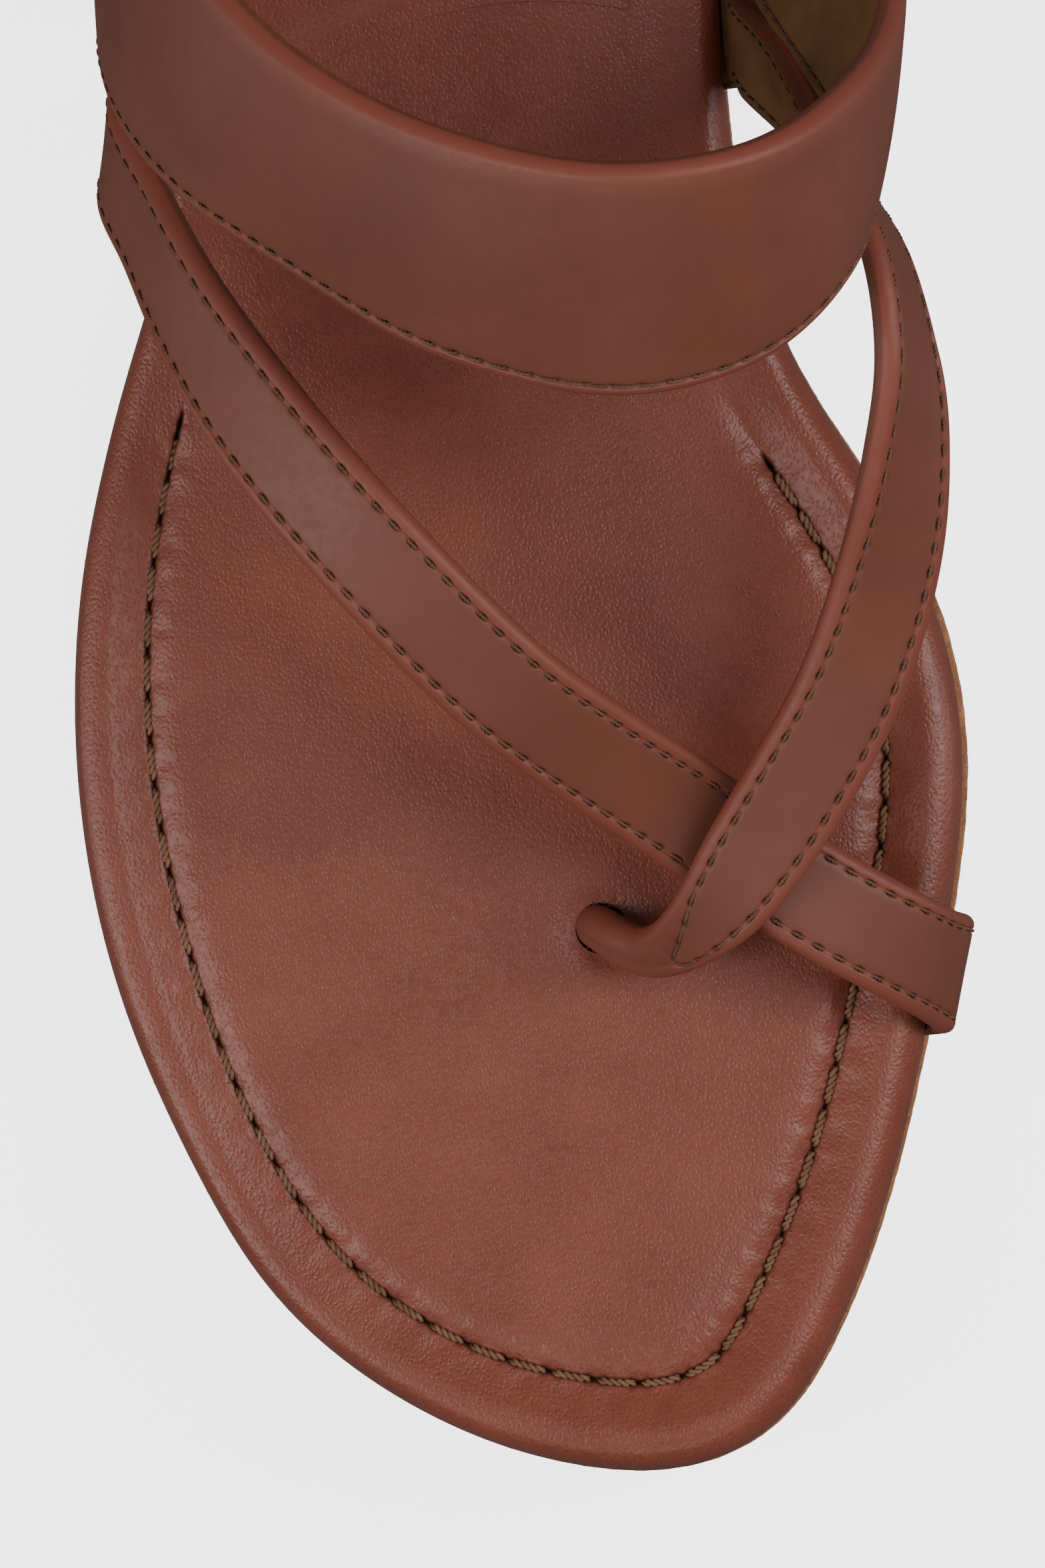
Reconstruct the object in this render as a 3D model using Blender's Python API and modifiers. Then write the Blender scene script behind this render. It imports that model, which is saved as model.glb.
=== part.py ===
"""Right-foot leather toe-post slide sandal, built as separate pieces.

Plan positions are millimetres in the shoe's own axes: x across with the big-toe side positive,
y back from the toe tip, z up from the ground. ORIGIN, on the sole under the ball, is where the
model's own origin ends up.
"""
import math

import bmesh
import bpy
import numpy as np

NAME = "toe_post_sandal"
MM = 0.001
ORIGIN = (-5.0, 78.0)
GAP = 0.3

# Sole: outer edge of the outsole as (x, y, width of the ledge outside the footbed, width of
# the footbed's rim outside the stitching).
# The list starts at the toe tip, runs back along the big-toe side, round the heel and home.
SOLE_EDGE = (
    (5.8, -0.7, 0.4, 8.8), (14.0, 2.5, 0.5, 8.9), (21.3, 12.0, 0.6, 9.0), (27.2, 24.5, 0.6, 8.5),
    (31.9, 38.6, 0.6, 8.1), (35.9, 52.0, 0.7, 7.9), (38.4, 68.0, 0.8, 7.7), (36.8, 81.0, 0.8, 7.7),
    (31.2, 93.6, 0.5, 7.6), (25.0, 105.0, 0.3, 7.6), (21.2, 118.0, 0.3, 7.3), (20.2, 131.0, 0.3, 7.3),
    (21.0, 146.0, 0.3, 7.3), (23.2, 172.0, 0.5, 7.3), (24.6, 204.0, 0.8, 7.3), (20.8, 230.0, 0.8, 7.3),
    (10.5, 243.6, 0.8, 7.3), (-4.5, 247.4, 0.8, 7.3), (-19.5, 243.6, 0.8, 7.3), (-29.8, 230.0, 0.8, 7.3),
    (-33.6, 204.0, 0.8, 7.3), (-33.6, 172.0, 0.6, 7.3), (-33.3, 146.0, 0.5, 7.0), (-35.6, 123.0, 0.4, 6.3),
    (-42.0, 106.4, 0.4, 6.4), (-47.1, 89.0, 0.4, 6.9), (-48.9, 70.0, 0.4, 7.5), (-47.1, 52.0, 0.4, 7.8),
    (-41.9, 35.2, 0.4, 7.2), (-33.1, 18.0, 0.4, 7.6), (-20.4, 6.8, 0.4, 7.9), (-7.6, 0.9, 0.4, 8.6),
)
HEEL_POINT = 17
SIDE_STEPS = 34
TOE_SPRING = 4.5
TOE_BREAK = 55.0
SHANK_START = 97.0
SHANK_END = 186.0
HEEL_RISE = 11.0

# Heights of the sole's layers above its own underside.
OUTSOLE_TOP = 3.6
BED_BOTTOM = 3.9
BOARD_TOP = 6.3
GROOVE_END = (94.0, 106.0)

# Footbed profiles as (inset from its edge, height with the stitch groove, height without it),
# for a rim of this width. Where the rim is wider or narrower, the insets scale with it.
RIM = 7.3
COVER_OUTER = (
    (0.5, 3.9, 3.9), (0.0, 5.6, 5.6), (0.3, 8.0, 8.0), (1.1, 10.0, 10.0), (2.4, 10.9, 10.9),
    (5.2, 11.0, 11.0), (7.3, 10.0, 11.0), (8.6, 10.8, 11.1), (10.8, 11.2, 11.2),
)
COVER_INNER = (
    (1.6, 3.9, 3.9), (1.6, 6.4, 6.4), (1.8, 7.8, 7.8), (2.4, 9.2, 9.2),
    (3.6, 9.7, 9.7), (5.6, 9.7, 9.7), (7.3, 8.8, 9.7), (8.7, 9.6, 9.8), (10.8, 9.9, 9.9),
)
FOAM_SIDE = (
    (2.0, 6.6, 6.6), (2.2, 7.7, 7.7), (2.9, 8.9, 8.9), (4.0, 9.3, 9.3),
    (5.6, 9.3, 9.3), (7.3, 8.4, 9.3), (8.7, 9.2, 9.4), (10.8, 9.6, 9.6),
)
STITCH_SPAN = (104.0, 95.0)

# Straps: leather face and lining lie either side of a middle surface.
FACE = (0.15, 1.25)
LINING = (-1.05, -0.15)
THREAD_RADIUS = 0.22
THREAD_INSET = 1.4
THREAD_LIFT = FACE[1] + GAP + THREAD_RADIUS + 0.1
TUCK_HEIGHT = OUTSOLE_TOP + 0.75 + FACE[1]
TUCK_DEPTH = 8.5
TUCK_REACH = 16.0

# Strap stations: x, y, z, width, then heading and lift in degrees of the line across the strap.
TOE_STRAP = (
    (-36.9, 134.4, 19.5, 10.6, 80, 12), (-38.4, 128.6, 26.0, 10.6, 75, 30),
    (-35.8, 121.5, 32.0, 10.6, 65, 40), (-32.0, 112.0, 38.0, 10.6, 55, 36),
    (-26.9, 102.5, 42.4, 10.6, 48, 24), (-17.2, 88.6, 44.8, 10.6, 44, 18),
    (-6.2, 75.6, 39.6, 10.6, 42, 16), (3.0, 67.8, 31.2, 10.6, 50, 14),
    (9.5, 62.8, 25.4, 10.6, 54, 8), (15.0, 58.4, 23.4, 10.6, 56, 2),
    (19.8, 54.7, 22.8, 10.6, 58, 0), (24.6, 51.3, 21.4, 10.6, 62, 0),
    (29.3, 48.3, 18.4, 10.7, 67, 0), (32.6, 46.2, 13.6, 11.0, 72, 0),
)
THONG_STRAP = (
    (7.8, 49.8, 24.0, 4.8, 137, 0), (11.7, 53.7, 26.9, 8.2, 144, 0),
    (15.0, 57.8, 29.0, 9.6, 147, 3), (19.8, 64.2, 30.7, 10.2, 149, 8),
    (24.9, 72.0, 32.6, 10.3, 154, 16), (29.3, 82.4, 36.6, 10.4, 163, 27),
    (31.8, 93.0, 41.4, 10.4, 172, 45), (32.5, 103.2, 44.8, 10.4, 176, 63),
    (31.6, 111.4, 44.0, 10.4, 168, 70), (29.4, 118.4, 40.2, 10.2, 132, 60),
    (26.2, 124.8, 33.6, 9.8, 106, 46), (23.6, 130.6, 25.4, 9.7, 97, 30),
    (22.0, 134.6, 18.6, 10.0, 93, 16),
)
BAND_FRONT = (
    (-36.0, 143.2, 19.5), (-37.6, 139.6, 26.4), (-37.4, 134.6, 33.6), (-35.2, 128.2, 40.8),
    (-31.0, 122.4, 46.6), (-22.3, 114.8, 54.2), (-7.2, 104.0, 63.0), (7.6, 100.0, 64.8),
    (17.6, 102.0, 62.8), (27.7, 111.4, 55.0), (29.4, 118.4, 48.4), (28.6, 125.6, 40.6),
    (26.0, 132.5, 31.2), (23.2, 138.6, 22.2),
)
BAND_REAR = (
    (-35.4, 166.6, 24.6), (-34.6, 160.0, 38.4), (-31.2, 150.2, 51.6), (-27.0, 143.0, 60.2),
    (-21.0, 136.6, 66.4), (-5.0, 124.6, 75.2), (8.0, 118.8, 78.8), (18.0, 119.4, 76.6),
    (28.2, 125.6, 66.4), (33.4, 134.2, 53.0), (34.2, 145.0, 39.8), (30.8, 156.0, 29.0),
    (26.2, 165.0, 22.6),
)
BAND_CAMBER = 0.7
TOE_STRAP_STEPS = 54
THONG_STEPS = 42
BAND_STEPS = 54
STRAP_CROWDING = 0.6

# Toe post.
POST_RADIUS = 2.1
POST_WALL = 0.9
CORD_RADIUS = 0.85
POST_PATH = (
    (0.1, 52.9, 5.4), (0.2, 52.8, 8.2), (0.9, 52.3, 11.2), (2.3, 51.2, 14.0),
    (4.3, 50.1, 16.4), (6.2, 49.6, 18.4), (7.8, 49.6, 20.6),
)
ANCHOR_RADIUS = 5.5
ANCHOR_SPAN = (3.9, 4.8)

# Heel.
HEEL_BREAST = 190.0
HEEL_LAYERS = (
    ("heel_top_piece", 0.0, 3.6), ("heel_lift_lower", 3.9, 7.2), ("heel_lift_upper", 7.5, 10.7),
)
NAIL_RADIUS = 0.9
NAIL_PLACES = ((-20.0, 202.0), (11.0, 202.0), (-17.0, 230.0), (8.0, 230.0))
SOCK_FRONT = 140.0
SOCK_INSET = 3.4
SOCK_SHARES = (0.0, 0.04, 0.09, 0.2, 0.35, 0.5, 0.65, 0.8, 0.91, 0.96, 1.0)


def clear_scene():
    for thing in list(bpy.data.objects):
        bpy.data.objects.remove(thing)


def new_collection(name):
    group = bpy.data.collections.new(name)
    bpy.context.scene.collection.children.link(group)
    return group


def new_material(name, colour, roughness, metallic=0.0):
    material = bpy.data.materials.new(name)
    material.use_nodes = True
    shader = material.node_tree.nodes["Principled BSDF"]
    shader.inputs["Base Color"].default_value = (*colour, 1.0)
    shader.inputs["Roughness"].default_value = roughness
    shader.inputs["Metallic"].default_value = metallic
    material.diffuse_color = (*colour, 1.0)
    return material


def placed(points):
    """Millimetres in the shoe's axes to metres from the model's origin."""
    moved = np.array(points, float)
    moved[..., 0] -= ORIGIN[0]
    moved[..., 1] -= ORIGIN[1]
    return moved * MM


def add_object(name, mesh, group, material=None):
    thing = bpy.data.objects.new(name, mesh)
    group.objects.link(thing)
    if material:
        mesh.materials.clear()
        mesh.materials.append(material)
    return thing


def tidy_mesh(mesh):
    """Weld touching points and turn every face outwards."""
    work = bmesh.new()
    work.from_mesh(mesh)
    bmesh.ops.remove_doubles(work, verts=work.verts, dist=0.00001)
    bmesh.ops.recalc_face_normals(work, faces=work.faces)
    work.to_mesh(mesh)
    work.free()


def smooth_path(points, count, axes=3, crowding=0.0):
    """Points on a smooth curve through the given ones, evenly spaced or crowded to its ends."""
    knots = np.array(points, float)
    steps = np.linalg.norm(np.diff(knots[:, :axes], axis=0), axis=1)
    at = np.concatenate([[0.0], np.cumsum(steps)])
    slopes = np.gradient(knots, at, axis=0)
    fine = np.linspace(0.0, at[-1], 40 * len(knots))
    piece = np.clip(np.searchsorted(at, fine, side="right") - 1, 0, len(at) - 2)
    span = (at[piece + 1] - at[piece])[:, None]
    t = (fine - at[piece])[:, None] / span
    curve = (
        (2 * t**3 - 3 * t**2 + 1) * knots[piece]
        + (t**3 - 2 * t**2 + t) * span * slopes[piece]
        + (3 * t**2 - 2 * t**3) * knots[piece + 1]
        + (t**3 - t**2) * span * slopes[piece + 1]
    )
    run = np.linalg.norm(np.diff(curve[:, :axes], axis=0), axis=1)
    run = np.concatenate([[0.0], np.cumsum(run)])
    share = np.linspace(0.0, 1.0, count)
    at = run[-1] * (share - crowding * np.sin(2 * np.pi * share) / (2 * np.pi))
    return np.stack([np.interp(at, run, column) for column in curve.T], axis=1)


def unit(vectors):
    return vectors / np.linalg.norm(vectors, axis=-1, keepdims=True)


def sole_edge():
    """Outsole edge, the same number of points on each side of the tip and the heel."""
    wrapped = SOLE_EDGE[-3:] + SOLE_EDGE + SOLE_EDGE[:3]
    dense = smooth_path(wrapped, 4000, axes=2)
    tip = np.argmin(np.linalg.norm(dense[:2000, :2] - SOLE_EDGE[0][:2], axis=1))
    back = np.argmin(np.linalg.norm(dense[:, :2] - SOLE_EDGE[HEEL_POINT][:2], axis=1))
    home = 2000 + np.argmin(np.linalg.norm(dense[2000:, :2] - SOLE_EDGE[0][:2], axis=1))
    medial = smooth_path(dense[tip:back:20], SIDE_STEPS + 1, axes=2)[:-1]
    lateral = smooth_path(dense[back:home:20], SIDE_STEPS + 1, axes=2)[:-1]
    return np.vstack([medial, lateral])


def inset_loop(inset, on_footbed=True):
    """Sole edge moved inwards: by rim shares from the footbed's edge, or from the outsole's."""
    edge = sole_edge()
    along = unit(np.roll(edge[:, :2], -1, axis=0) - np.roll(edge[:, :2], 1, axis=0))
    inward = np.stack([-along[:, 1], along[:, 0]], axis=1)
    distance = inset * edge[:, 3] / RIM + edge[:, 2] if on_footbed else np.full(len(edge), inset)
    return edge[:, :2] + inward * distance[:, None]


def sole_rise(y):
    """Height of the sole's underside above the ground."""
    toe = np.clip((TOE_BREAK - y) / TOE_BREAK, 0.0, None)
    shank = np.clip((y - SHANK_START) / (SHANK_END - SHANK_START), 0.0, 1.0)
    return TOE_SPRING * toe**2 + HEEL_RISE * shank**2 * (3 - 2 * shank)


def sole_slope(y):
    """Tilt of the sole along the shoe, in degrees."""
    return math.degrees(math.atan(sole_rise(y + 0.5) - sole_rise(y - 0.5)))


def groove_fade(y):
    """0 where the footbed has its stitch groove, 1 behind it."""
    start, end = GROOVE_END
    t = np.clip((y - start) / (end - start), 0.0, 1.0)
    return t * t * (3 - 2 * t)


def profile_rings(profile):
    rings = []
    for inset, grooved, plain in profile:
        loop = inset_loop(inset)
        fade = groove_fade(loop[:, 1])
        height = sole_rise(loop[:, 1]) + grooved * (1 - fade) + plain * fade
        rings.append(np.column_stack([loop, height]))
    return rings


def flat_ring(inset, height, on_footbed=True, follow_sole=True):
    loop = inset_loop(inset, on_footbed)
    rise = sole_rise(loop[:, 1]) if follow_sole else np.zeros(len(loop))
    return np.column_stack([loop, rise + height])


def ladder(first, count):
    """Faces across a ring, rung by rung from the toe to the heel."""
    half = count // 2
    faces = [(first, first + 1, first + count - 1)]
    for i in range(1, half - 1):
        faces.append((first + i, first + i + 1, first + count - i - 1, first + count - i))
    faces.append((first + half - 1, first + half, first + half + 1))
    return faces


def loop_solid(name, rings, group, material):
    """Closed body through a stack of rings, the first and last filled across."""
    count = len(rings[0])
    faces = ladder(0, count)
    for level in range(len(rings) - 1):
        low = level * count
        for i in range(count):
            j = (i + 1) % count
            faces.append((low + i, low + j, low + count + j, low + count + i))
    faces += ladder((len(rings) - 1) * count, count)
    mesh = bpy.data.meshes.new(name)
    mesh.from_pydata(placed(np.vstack(rings)).tolist(), [], faces)
    tidy_mesh(mesh)
    return add_object(name, mesh, group, material)


def grid_solid(name, upper, lower, group, material):
    """Closed body between two grids of points of the same shape."""
    rows, columns = upper.shape[:2]
    half = rows * columns
    faces = []
    for r in range(rows - 1):
        for c in range(columns - 1):
            a = r * columns + c
            b = a + columns
            for face in ((a, a + 1, b + 1), (a, b + 1, b)):
                faces.append(face)
                faces.append(tuple(half + i for i in reversed(face)))
    rim = [(0, c) for c in range(columns)] + [(r, columns - 1) for r in range(1, rows)]
    rim += [(rows - 1, c) for c in range(columns - 2, -1, -1)]
    rim += [(r, 0) for r in range(rows - 2, 0, -1)]
    for here, there in zip(rim, rim[1:] + rim[:1]):
        a = here[0] * columns + here[1]
        b = there[0] * columns + there[1]
        faces.append((b, a, half + a, half + b))
    points = np.vstack([upper.reshape(-1, 3), lower.reshape(-1, 3)])
    mesh = bpy.data.meshes.new(name)
    mesh.from_pydata(placed(points).tolist(), [], faces)
    tidy_mesh(mesh)
    return add_object(name, mesh, group, material)


def tube(name, path, radius, group, material=None, wall=None):
    """Round tube along a path, solid or with a wall of the given thickness."""
    curve = bpy.data.curves.new(name, "CURVE")
    curve.dimensions = "3D"
    curve.bevel_depth = radius * MM
    curve.bevel_resolution = 2 if radius > 0.5 else 0
    curve.use_fill_caps = wall is None
    spline = curve.splines.new("POLY")
    spline.points.add(len(path) - 1)
    for point, place in zip(spline.points, placed(path)):
        point.co = (*place, 1.0)
    holder = bpy.data.objects.new(name, curve)
    mesh = bpy.data.meshes.new_from_object(holder)
    bpy.data.objects.remove(holder)
    tidy_mesh(mesh)
    thing = add_object(name, mesh, group, material)
    if wall:
        shell = thing.modifiers.new("Wall", "SOLIDIFY")
        shell.thickness = wall * MM
        shell.offset = -1.0
    return thing


def cylinder(name, x, y, low, high, radius, group, material=None):
    work = bmesh.new()
    bmesh.ops.create_cone(
        work, cap_ends=True, segments=24, radius1=radius * MM, radius2=radius * MM,
        depth=(high - low) * MM,
    )
    centre = placed([x, y, (low + high) / 2])
    bmesh.ops.translate(work, verts=work.verts, vec=tuple(centre))
    mesh = bpy.data.meshes.new(name)
    work.to_mesh(mesh)
    work.free()
    return add_object(name, mesh, group, material)


def cut(target, cutter):
    step = target.modifiers.new(cutter.name, "BOOLEAN")
    step.operation = "DIFFERENCE"
    step.solver = "EXACT"
    step.object = cutter


def strap_end(edge_x, y, side, radius, slack):
    """Points from a strap's side of the footbed down into the joint above the outsole."""
    base = sole_rise(y) + TUCK_HEIGHT
    out = edge_x + side * slack
    turn = radius * math.sqrt(0.5)
    return [
        (out, y, base + radius),
        (out - side * (radius - turn), y, base + radius - turn),
        (out - side * radius, y, base),
        (out - side * (radius + TUCK_DEPTH), y, base),
    ]


def station_rails(stations, count):
    """Rails of a strap from stations with a width and a line across it."""
    rows = []
    for x, y, z, width, heading, lift in stations:
        heading, lift = math.radians(heading), math.radians(lift)
        across = (
            math.cos(heading) * math.cos(lift), math.sin(heading) * math.cos(lift),
            math.sin(lift),
        )
        rows.append((x, y, z, width, *across))
    path = smooth_path(rows, count, crowding=STRAP_CROWDING)
    along = unit(np.gradient(path[:, :3], axis=0))
    across = path[:, 4:7]
    across = unit(across - along * np.sum(across * along, axis=1, keepdims=True))
    half = across * path[:, 3:4] / 2
    return path[:, :3] - half, path[:, :3] + half


def run_along(front, rear):
    """Distance along the middle of a strap, row by row."""
    steps = np.linalg.norm(np.diff((front + rear) / 2, axis=0), axis=1)
    return np.concatenate([[0.0], np.cumsum(steps)])


def end_fade(front, rear):
    """0 where a strap is tucked in at its ends, 1 over the foot."""
    run = run_along(front, rear)
    from_end = np.minimum(run, run[-1] - run)
    return np.clip((from_end - TUCK_REACH) / TUCK_REACH, 0.0, 1.0)


def strap_surface(front, rear, across, camber=0.0):
    """Grid between two rails and its outward normals."""
    share = np.linspace(0.0, 1.0, across + 1)[None, :, None]
    grid = front[:, None] * (1 - share) + rear[:, None] * share
    along = unit(np.gradient(grid, axis=0))
    over = unit(np.gradient(grid, axis=1))
    normals = unit(np.cross(along, over))
    swell = camber * end_fade(front, rear)[:, None, None]
    return grid + normals * (swell * 4 * share * (1 - share)), normals


def strap_layer(name, surface, offsets, group, material):
    grid, normals = surface
    low, high = offsets
    return grid_solid(name, grid + normals * high, grid + normals * low, group, material)


def widened(front, rear, margin):
    over = unit(rear - front) * margin
    return front - over, rear + over


def thread_path(near, far, side, rise=0.0):
    """Line just above a strap's face, a little in from the near rail. Side: 1 front, -1 rear."""
    over = unit(far - near)
    along = unit(np.gradient(near, axis=0))
    return near + over * THREAD_INSET + np.cross(along, over) * side * (THREAD_LIFT + rise)


def in_sight(front, rear, both_ends=True):
    """Rows of a strap that are clear of its tucked ends."""
    run = run_along(front, rear)
    clear = run < run[-1] - TUCK_REACH
    return clear & (run > TUCK_REACH) if both_ends else clear


def toe_strap_rails():
    lateral = strap_end(-32.9, 136.2, -1, 2.2, 1.6)
    medial = strap_end(31.2, 45.0, 1, 2.6, 3.0)
    start = [(*point, 10.6, 84, sole_slope(136.2)) for point in reversed(lateral)]
    end = [(*point, 11.8, 74, sole_slope(45.0)) for point in medial]
    return station_rails(start + list(TOE_STRAP) + end, TOE_STRAP_STEPS)


def thong_strap_rails():
    medial = strap_end(19.6, 137.2, 1, 2.2, 1.6)
    end = [(*point, 10.4, 90, sole_slope(137.2)) for point in medial]
    return station_rails(list(THONG_STRAP) + end, THONG_STEPS)


def band_rails():
    front = list(reversed(strap_end(-32.8, 144.2, -1, 2.2, 1.6)))
    front += list(BAND_FRONT) + strap_end(20.3, 143.8, 1, 2.2, 1.6)
    rear = list(reversed(strap_end(-33.0, 168.0, -1, 2.2, 1.6)))
    rear += list(BAND_REAR) + strap_end(22.2, 170.0, 1, 2.2, 1.6)
    return tuple(smooth_path(rail, BAND_STEPS, crowding=STRAP_CROWDING) for rail in (front, rear))


def lengthened(rail):
    """A rail carried on by one more step at each end."""
    return np.vstack([2 * rail[0] - rail[1], rail, 2 * rail[-1] - rail[-2]])


def end_cutter(name, front, rear, end, group):
    """Room for a tucked strap end, cut from the footbed down to its underside."""
    run = run_along(front, rear)
    rows = np.abs(run - run[end]) < TUCK_REACH
    rails = widened(lengthened(front[rows]), lengthened(rear[rows]), GAP)
    offsets = (LINING[0] - 4 * GAP, FACE[1] + 7 * GAP)
    return strap_layer(name, strap_surface(*rails, 1), offsets, group, None)


def cover_height(x, y):
    """Top of the footbed behind the groove, by distance from its edge."""
    edge = inset_loop(0.0)
    distance = np.sqrt((edge[:, 0] - x) ** 2 + (edge[:, 1] - y) ** 2).min()
    insets = [row[0] for row in COVER_OUTER[1:]]
    heights = [row[2] for row in COVER_OUTER[1:]]
    return sole_rise(y) + np.interp(distance, insets, heights)


def heel_sock(group, material):
    """Thin leather pad on the heel half of the footbed, its front edge hollowed."""
    loop = inset_loop(SOCK_INSET)
    half = len(loop) // 2
    rows = [i for i in range(1, half) if loop[i, 1] > SOCK_FRONT]
    share = np.array(SOCK_SHARES)
    grid = []
    for place, i in enumerate(rows):
        a, b = loop[i], loop[len(loop) - i]
        line = a[None] * (1 - share[:, None]) + b[None] * share[:, None]
        if place == 0:
            line[:, 1] += 4.0 * (1 - (2 * share - 1) ** 2) - 1.0
        grid.append([(x, y, cover_height(x, y) + 1.5 * GAP) for x, y in line])
    lower = np.array(grid)
    upper = lower + (0.0, 0.0, 0.8)
    return grid_solid("heel_sock", upper, lower, group, material)


def heel_layer(name, low, high, group, material):
    rings = [
        flat_ring(0.9, low, on_footbed=False, follow_sole=False),
        flat_ring(0.7, high, on_footbed=False, follow_sole=False),
    ]
    piece = loop_solid(name, rings, group, material)
    work = bmesh.new()
    work.from_mesh(piece.data)
    everything = work.verts[:] + work.edges[:] + work.faces[:]
    made = bmesh.ops.bisect_plane(
        work, geom=everything, dist=0.000001, clear_inner=True,
        plane_co=tuple(placed([0.0, HEEL_BREAST, 0.0])), plane_no=(0.0, 1.0, 0.0),
    )
    rim = [item for item in made["geom_cut"] if isinstance(item, bmesh.types.BMEdge)]
    bmesh.ops.edgenet_fill(work, edges=rim)
    bmesh.ops.recalc_face_normals(work, faces=work.faces)
    work.to_mesh(piece.data)
    work.free()
    return piece


def footbed_thread():
    """Thread path in the groove, from the lateral end round the toes to the medial end."""
    loop = inset_loop(RIM)
    half = len(loop) // 2
    lateral = [p for p in loop[half:] if p[1] < STITCH_SPAN[0]]
    medial = [p for p in loop[:half] if p[1] < STITCH_SPAN[1]]
    fine = smooth_path(lateral + medial, 120, axes=2)
    base = COVER_OUTER[6][1] + GAP + THREAD_RADIUS + 0.15
    heights = sole_rise(fine[:, 1]) + base + 1.0 * groove_fade(fine[:, 1])
    return np.column_stack([fine, heights])


def build_sole(group, look):
    outsole_rings = [
        flat_ring(0.5, 0.0, on_footbed=False), flat_ring(0.0, 0.5, on_footbed=False),
        flat_ring(0.0, OUTSOLE_TOP, on_footbed=False),
    ]
    loop_solid("outsole", outsole_rings, group, look["sole_leather"])
    board_rings = [flat_ring(2.0, BED_BOTTOM), flat_ring(2.0, BOARD_TOP)]
    board = loop_solid("insole_board", board_rings, group, look["board"])
    foam = loop_solid("footbed_foam", profile_rings(FOAM_SIDE), group, look["foam"])
    shell = profile_rings(COVER_INNER)[::-1] + profile_rings(COVER_OUTER)
    cover = loop_solid("footbed_cover", shell, group, look["brown_leather"])
    heel_sock(group, look["brown_leather"])
    tube("footbed_stitching", footbed_thread(), THREAD_RADIUS + 0.1, group, look["thread"])
    return board, foam, cover


def build_heel(group, hidden, look):
    pieces = []
    for name, low, high in HEEL_LAYERS:
        material = look["rubber"] if name == "heel_top_piece" else look["sole_leather"]
        pieces.append(heel_layer(name, low, high, group, material))
    for number, (x, y) in enumerate(NAIL_PLACES, 1):
        cylinder(f"heel_nail_{number}", x, y, 0.4, 10.0, NAIL_RADIUS, group, look["brass"])
        bore = cylinder(f"nail_bore_{number}", x, y, -1.0, 10.3, NAIL_RADIUS + GAP, hidden)
        for piece in pieces:
            cut(piece, bore)


def build_toe_post(group, hidden, look, board, foam, cover):
    path = smooth_path(POST_PATH, 18)
    tube("toe_post_sleeve", path, POST_RADIUS, group, look["brown_leather"], wall=POST_WALL)
    foot = np.array([[path[0, 0], path[0, 1], ANCHOR_SPAN[0] + 0.1]])
    tube("toe_post_cord", np.vstack([foot, path[:-1]]), CORD_RADIUS, group, look["cord"])
    hole = tube("post_hole", np.vstack([foot, path[:9]]), POST_RADIUS + GAP, hidden)
    for piece in (board, foam, cover):
        cut(piece, hole)
    x, y = path[0, 0], path[0, 1]
    low, high = ANCHOR_SPAN
    anchor = cylinder("toe_post_anchor", x, y, low, high, ANCHOR_RADIUS, group, look["board"])
    bore = cylinder("anchor_bore", x, y, low - 1, high + 1, CORD_RADIUS + GAP, hidden)
    cut(anchor, bore)
    recess = cylinder("anchor_recess", x, y, low - 1, high + GAP, ANCHOR_RADIUS + GAP, hidden)
    cut(board, recess)


def build_straps(group, hidden, look, board, foam, cover):
    toe = toe_strap_rails()
    thong = thong_strap_rails()
    band = band_rails()
    layers = (
        ("toe_strap", toe, 1, 0.0), ("thong_strap", thong, 1, 0.0),
        ("instep_band", band, 4, BAND_CAMBER),
    )
    for name, rails, across, camber in layers:
        surface = strap_surface(*rails, across, camber)
        strap_layer(f"{name}_face", surface, FACE, group, look["brown_leather"])
        strap_layer(f"{name}_lining", surface, LINING, group, look["lining_leather"])
    sewn = (
        ("toe_strap", toe, "front", 0.0), ("toe_strap", toe, "rear", 0.0),
        ("instep_band", band, "front", BAND_CAMBER / 3),
    )
    for name, rails, row, rise in sewn:
        front, rear = (rail[in_sight(*rails)] for rail in rails)
        near, far, side = (front, rear, 1) if row == "front" else (rear, front, -1)
        path = thread_path(near, far, side, rise)
        tube(f"{name}_stitching_{row}", path, THREAD_RADIUS, group, look["thread"])
    seen = in_sight(*thong, both_ends=False)
    front, rear = (rail[seen][1:] for rail in thong)
    round_tip = np.vstack([thread_path(front, rear, 1)[::-1], thread_path(rear, front, -1)])
    tube("thong_strap_stitching", round_tip, THREAD_RADIUS, group, look["thread"])
    ends = (
        ("toe_strap_end_lateral", toe, 0), ("toe_strap_end_medial", toe, -1),
        ("thong_strap_end", thong, -1), ("band_end_lateral", band, 0), ("band_end_medial", band, -1),
    )
    for name, rails, end in ends:
        cutter = end_cutter(name, *rails, end, hidden)
        for piece in (board, foam, cover):
            cut(piece, cutter)


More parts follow.
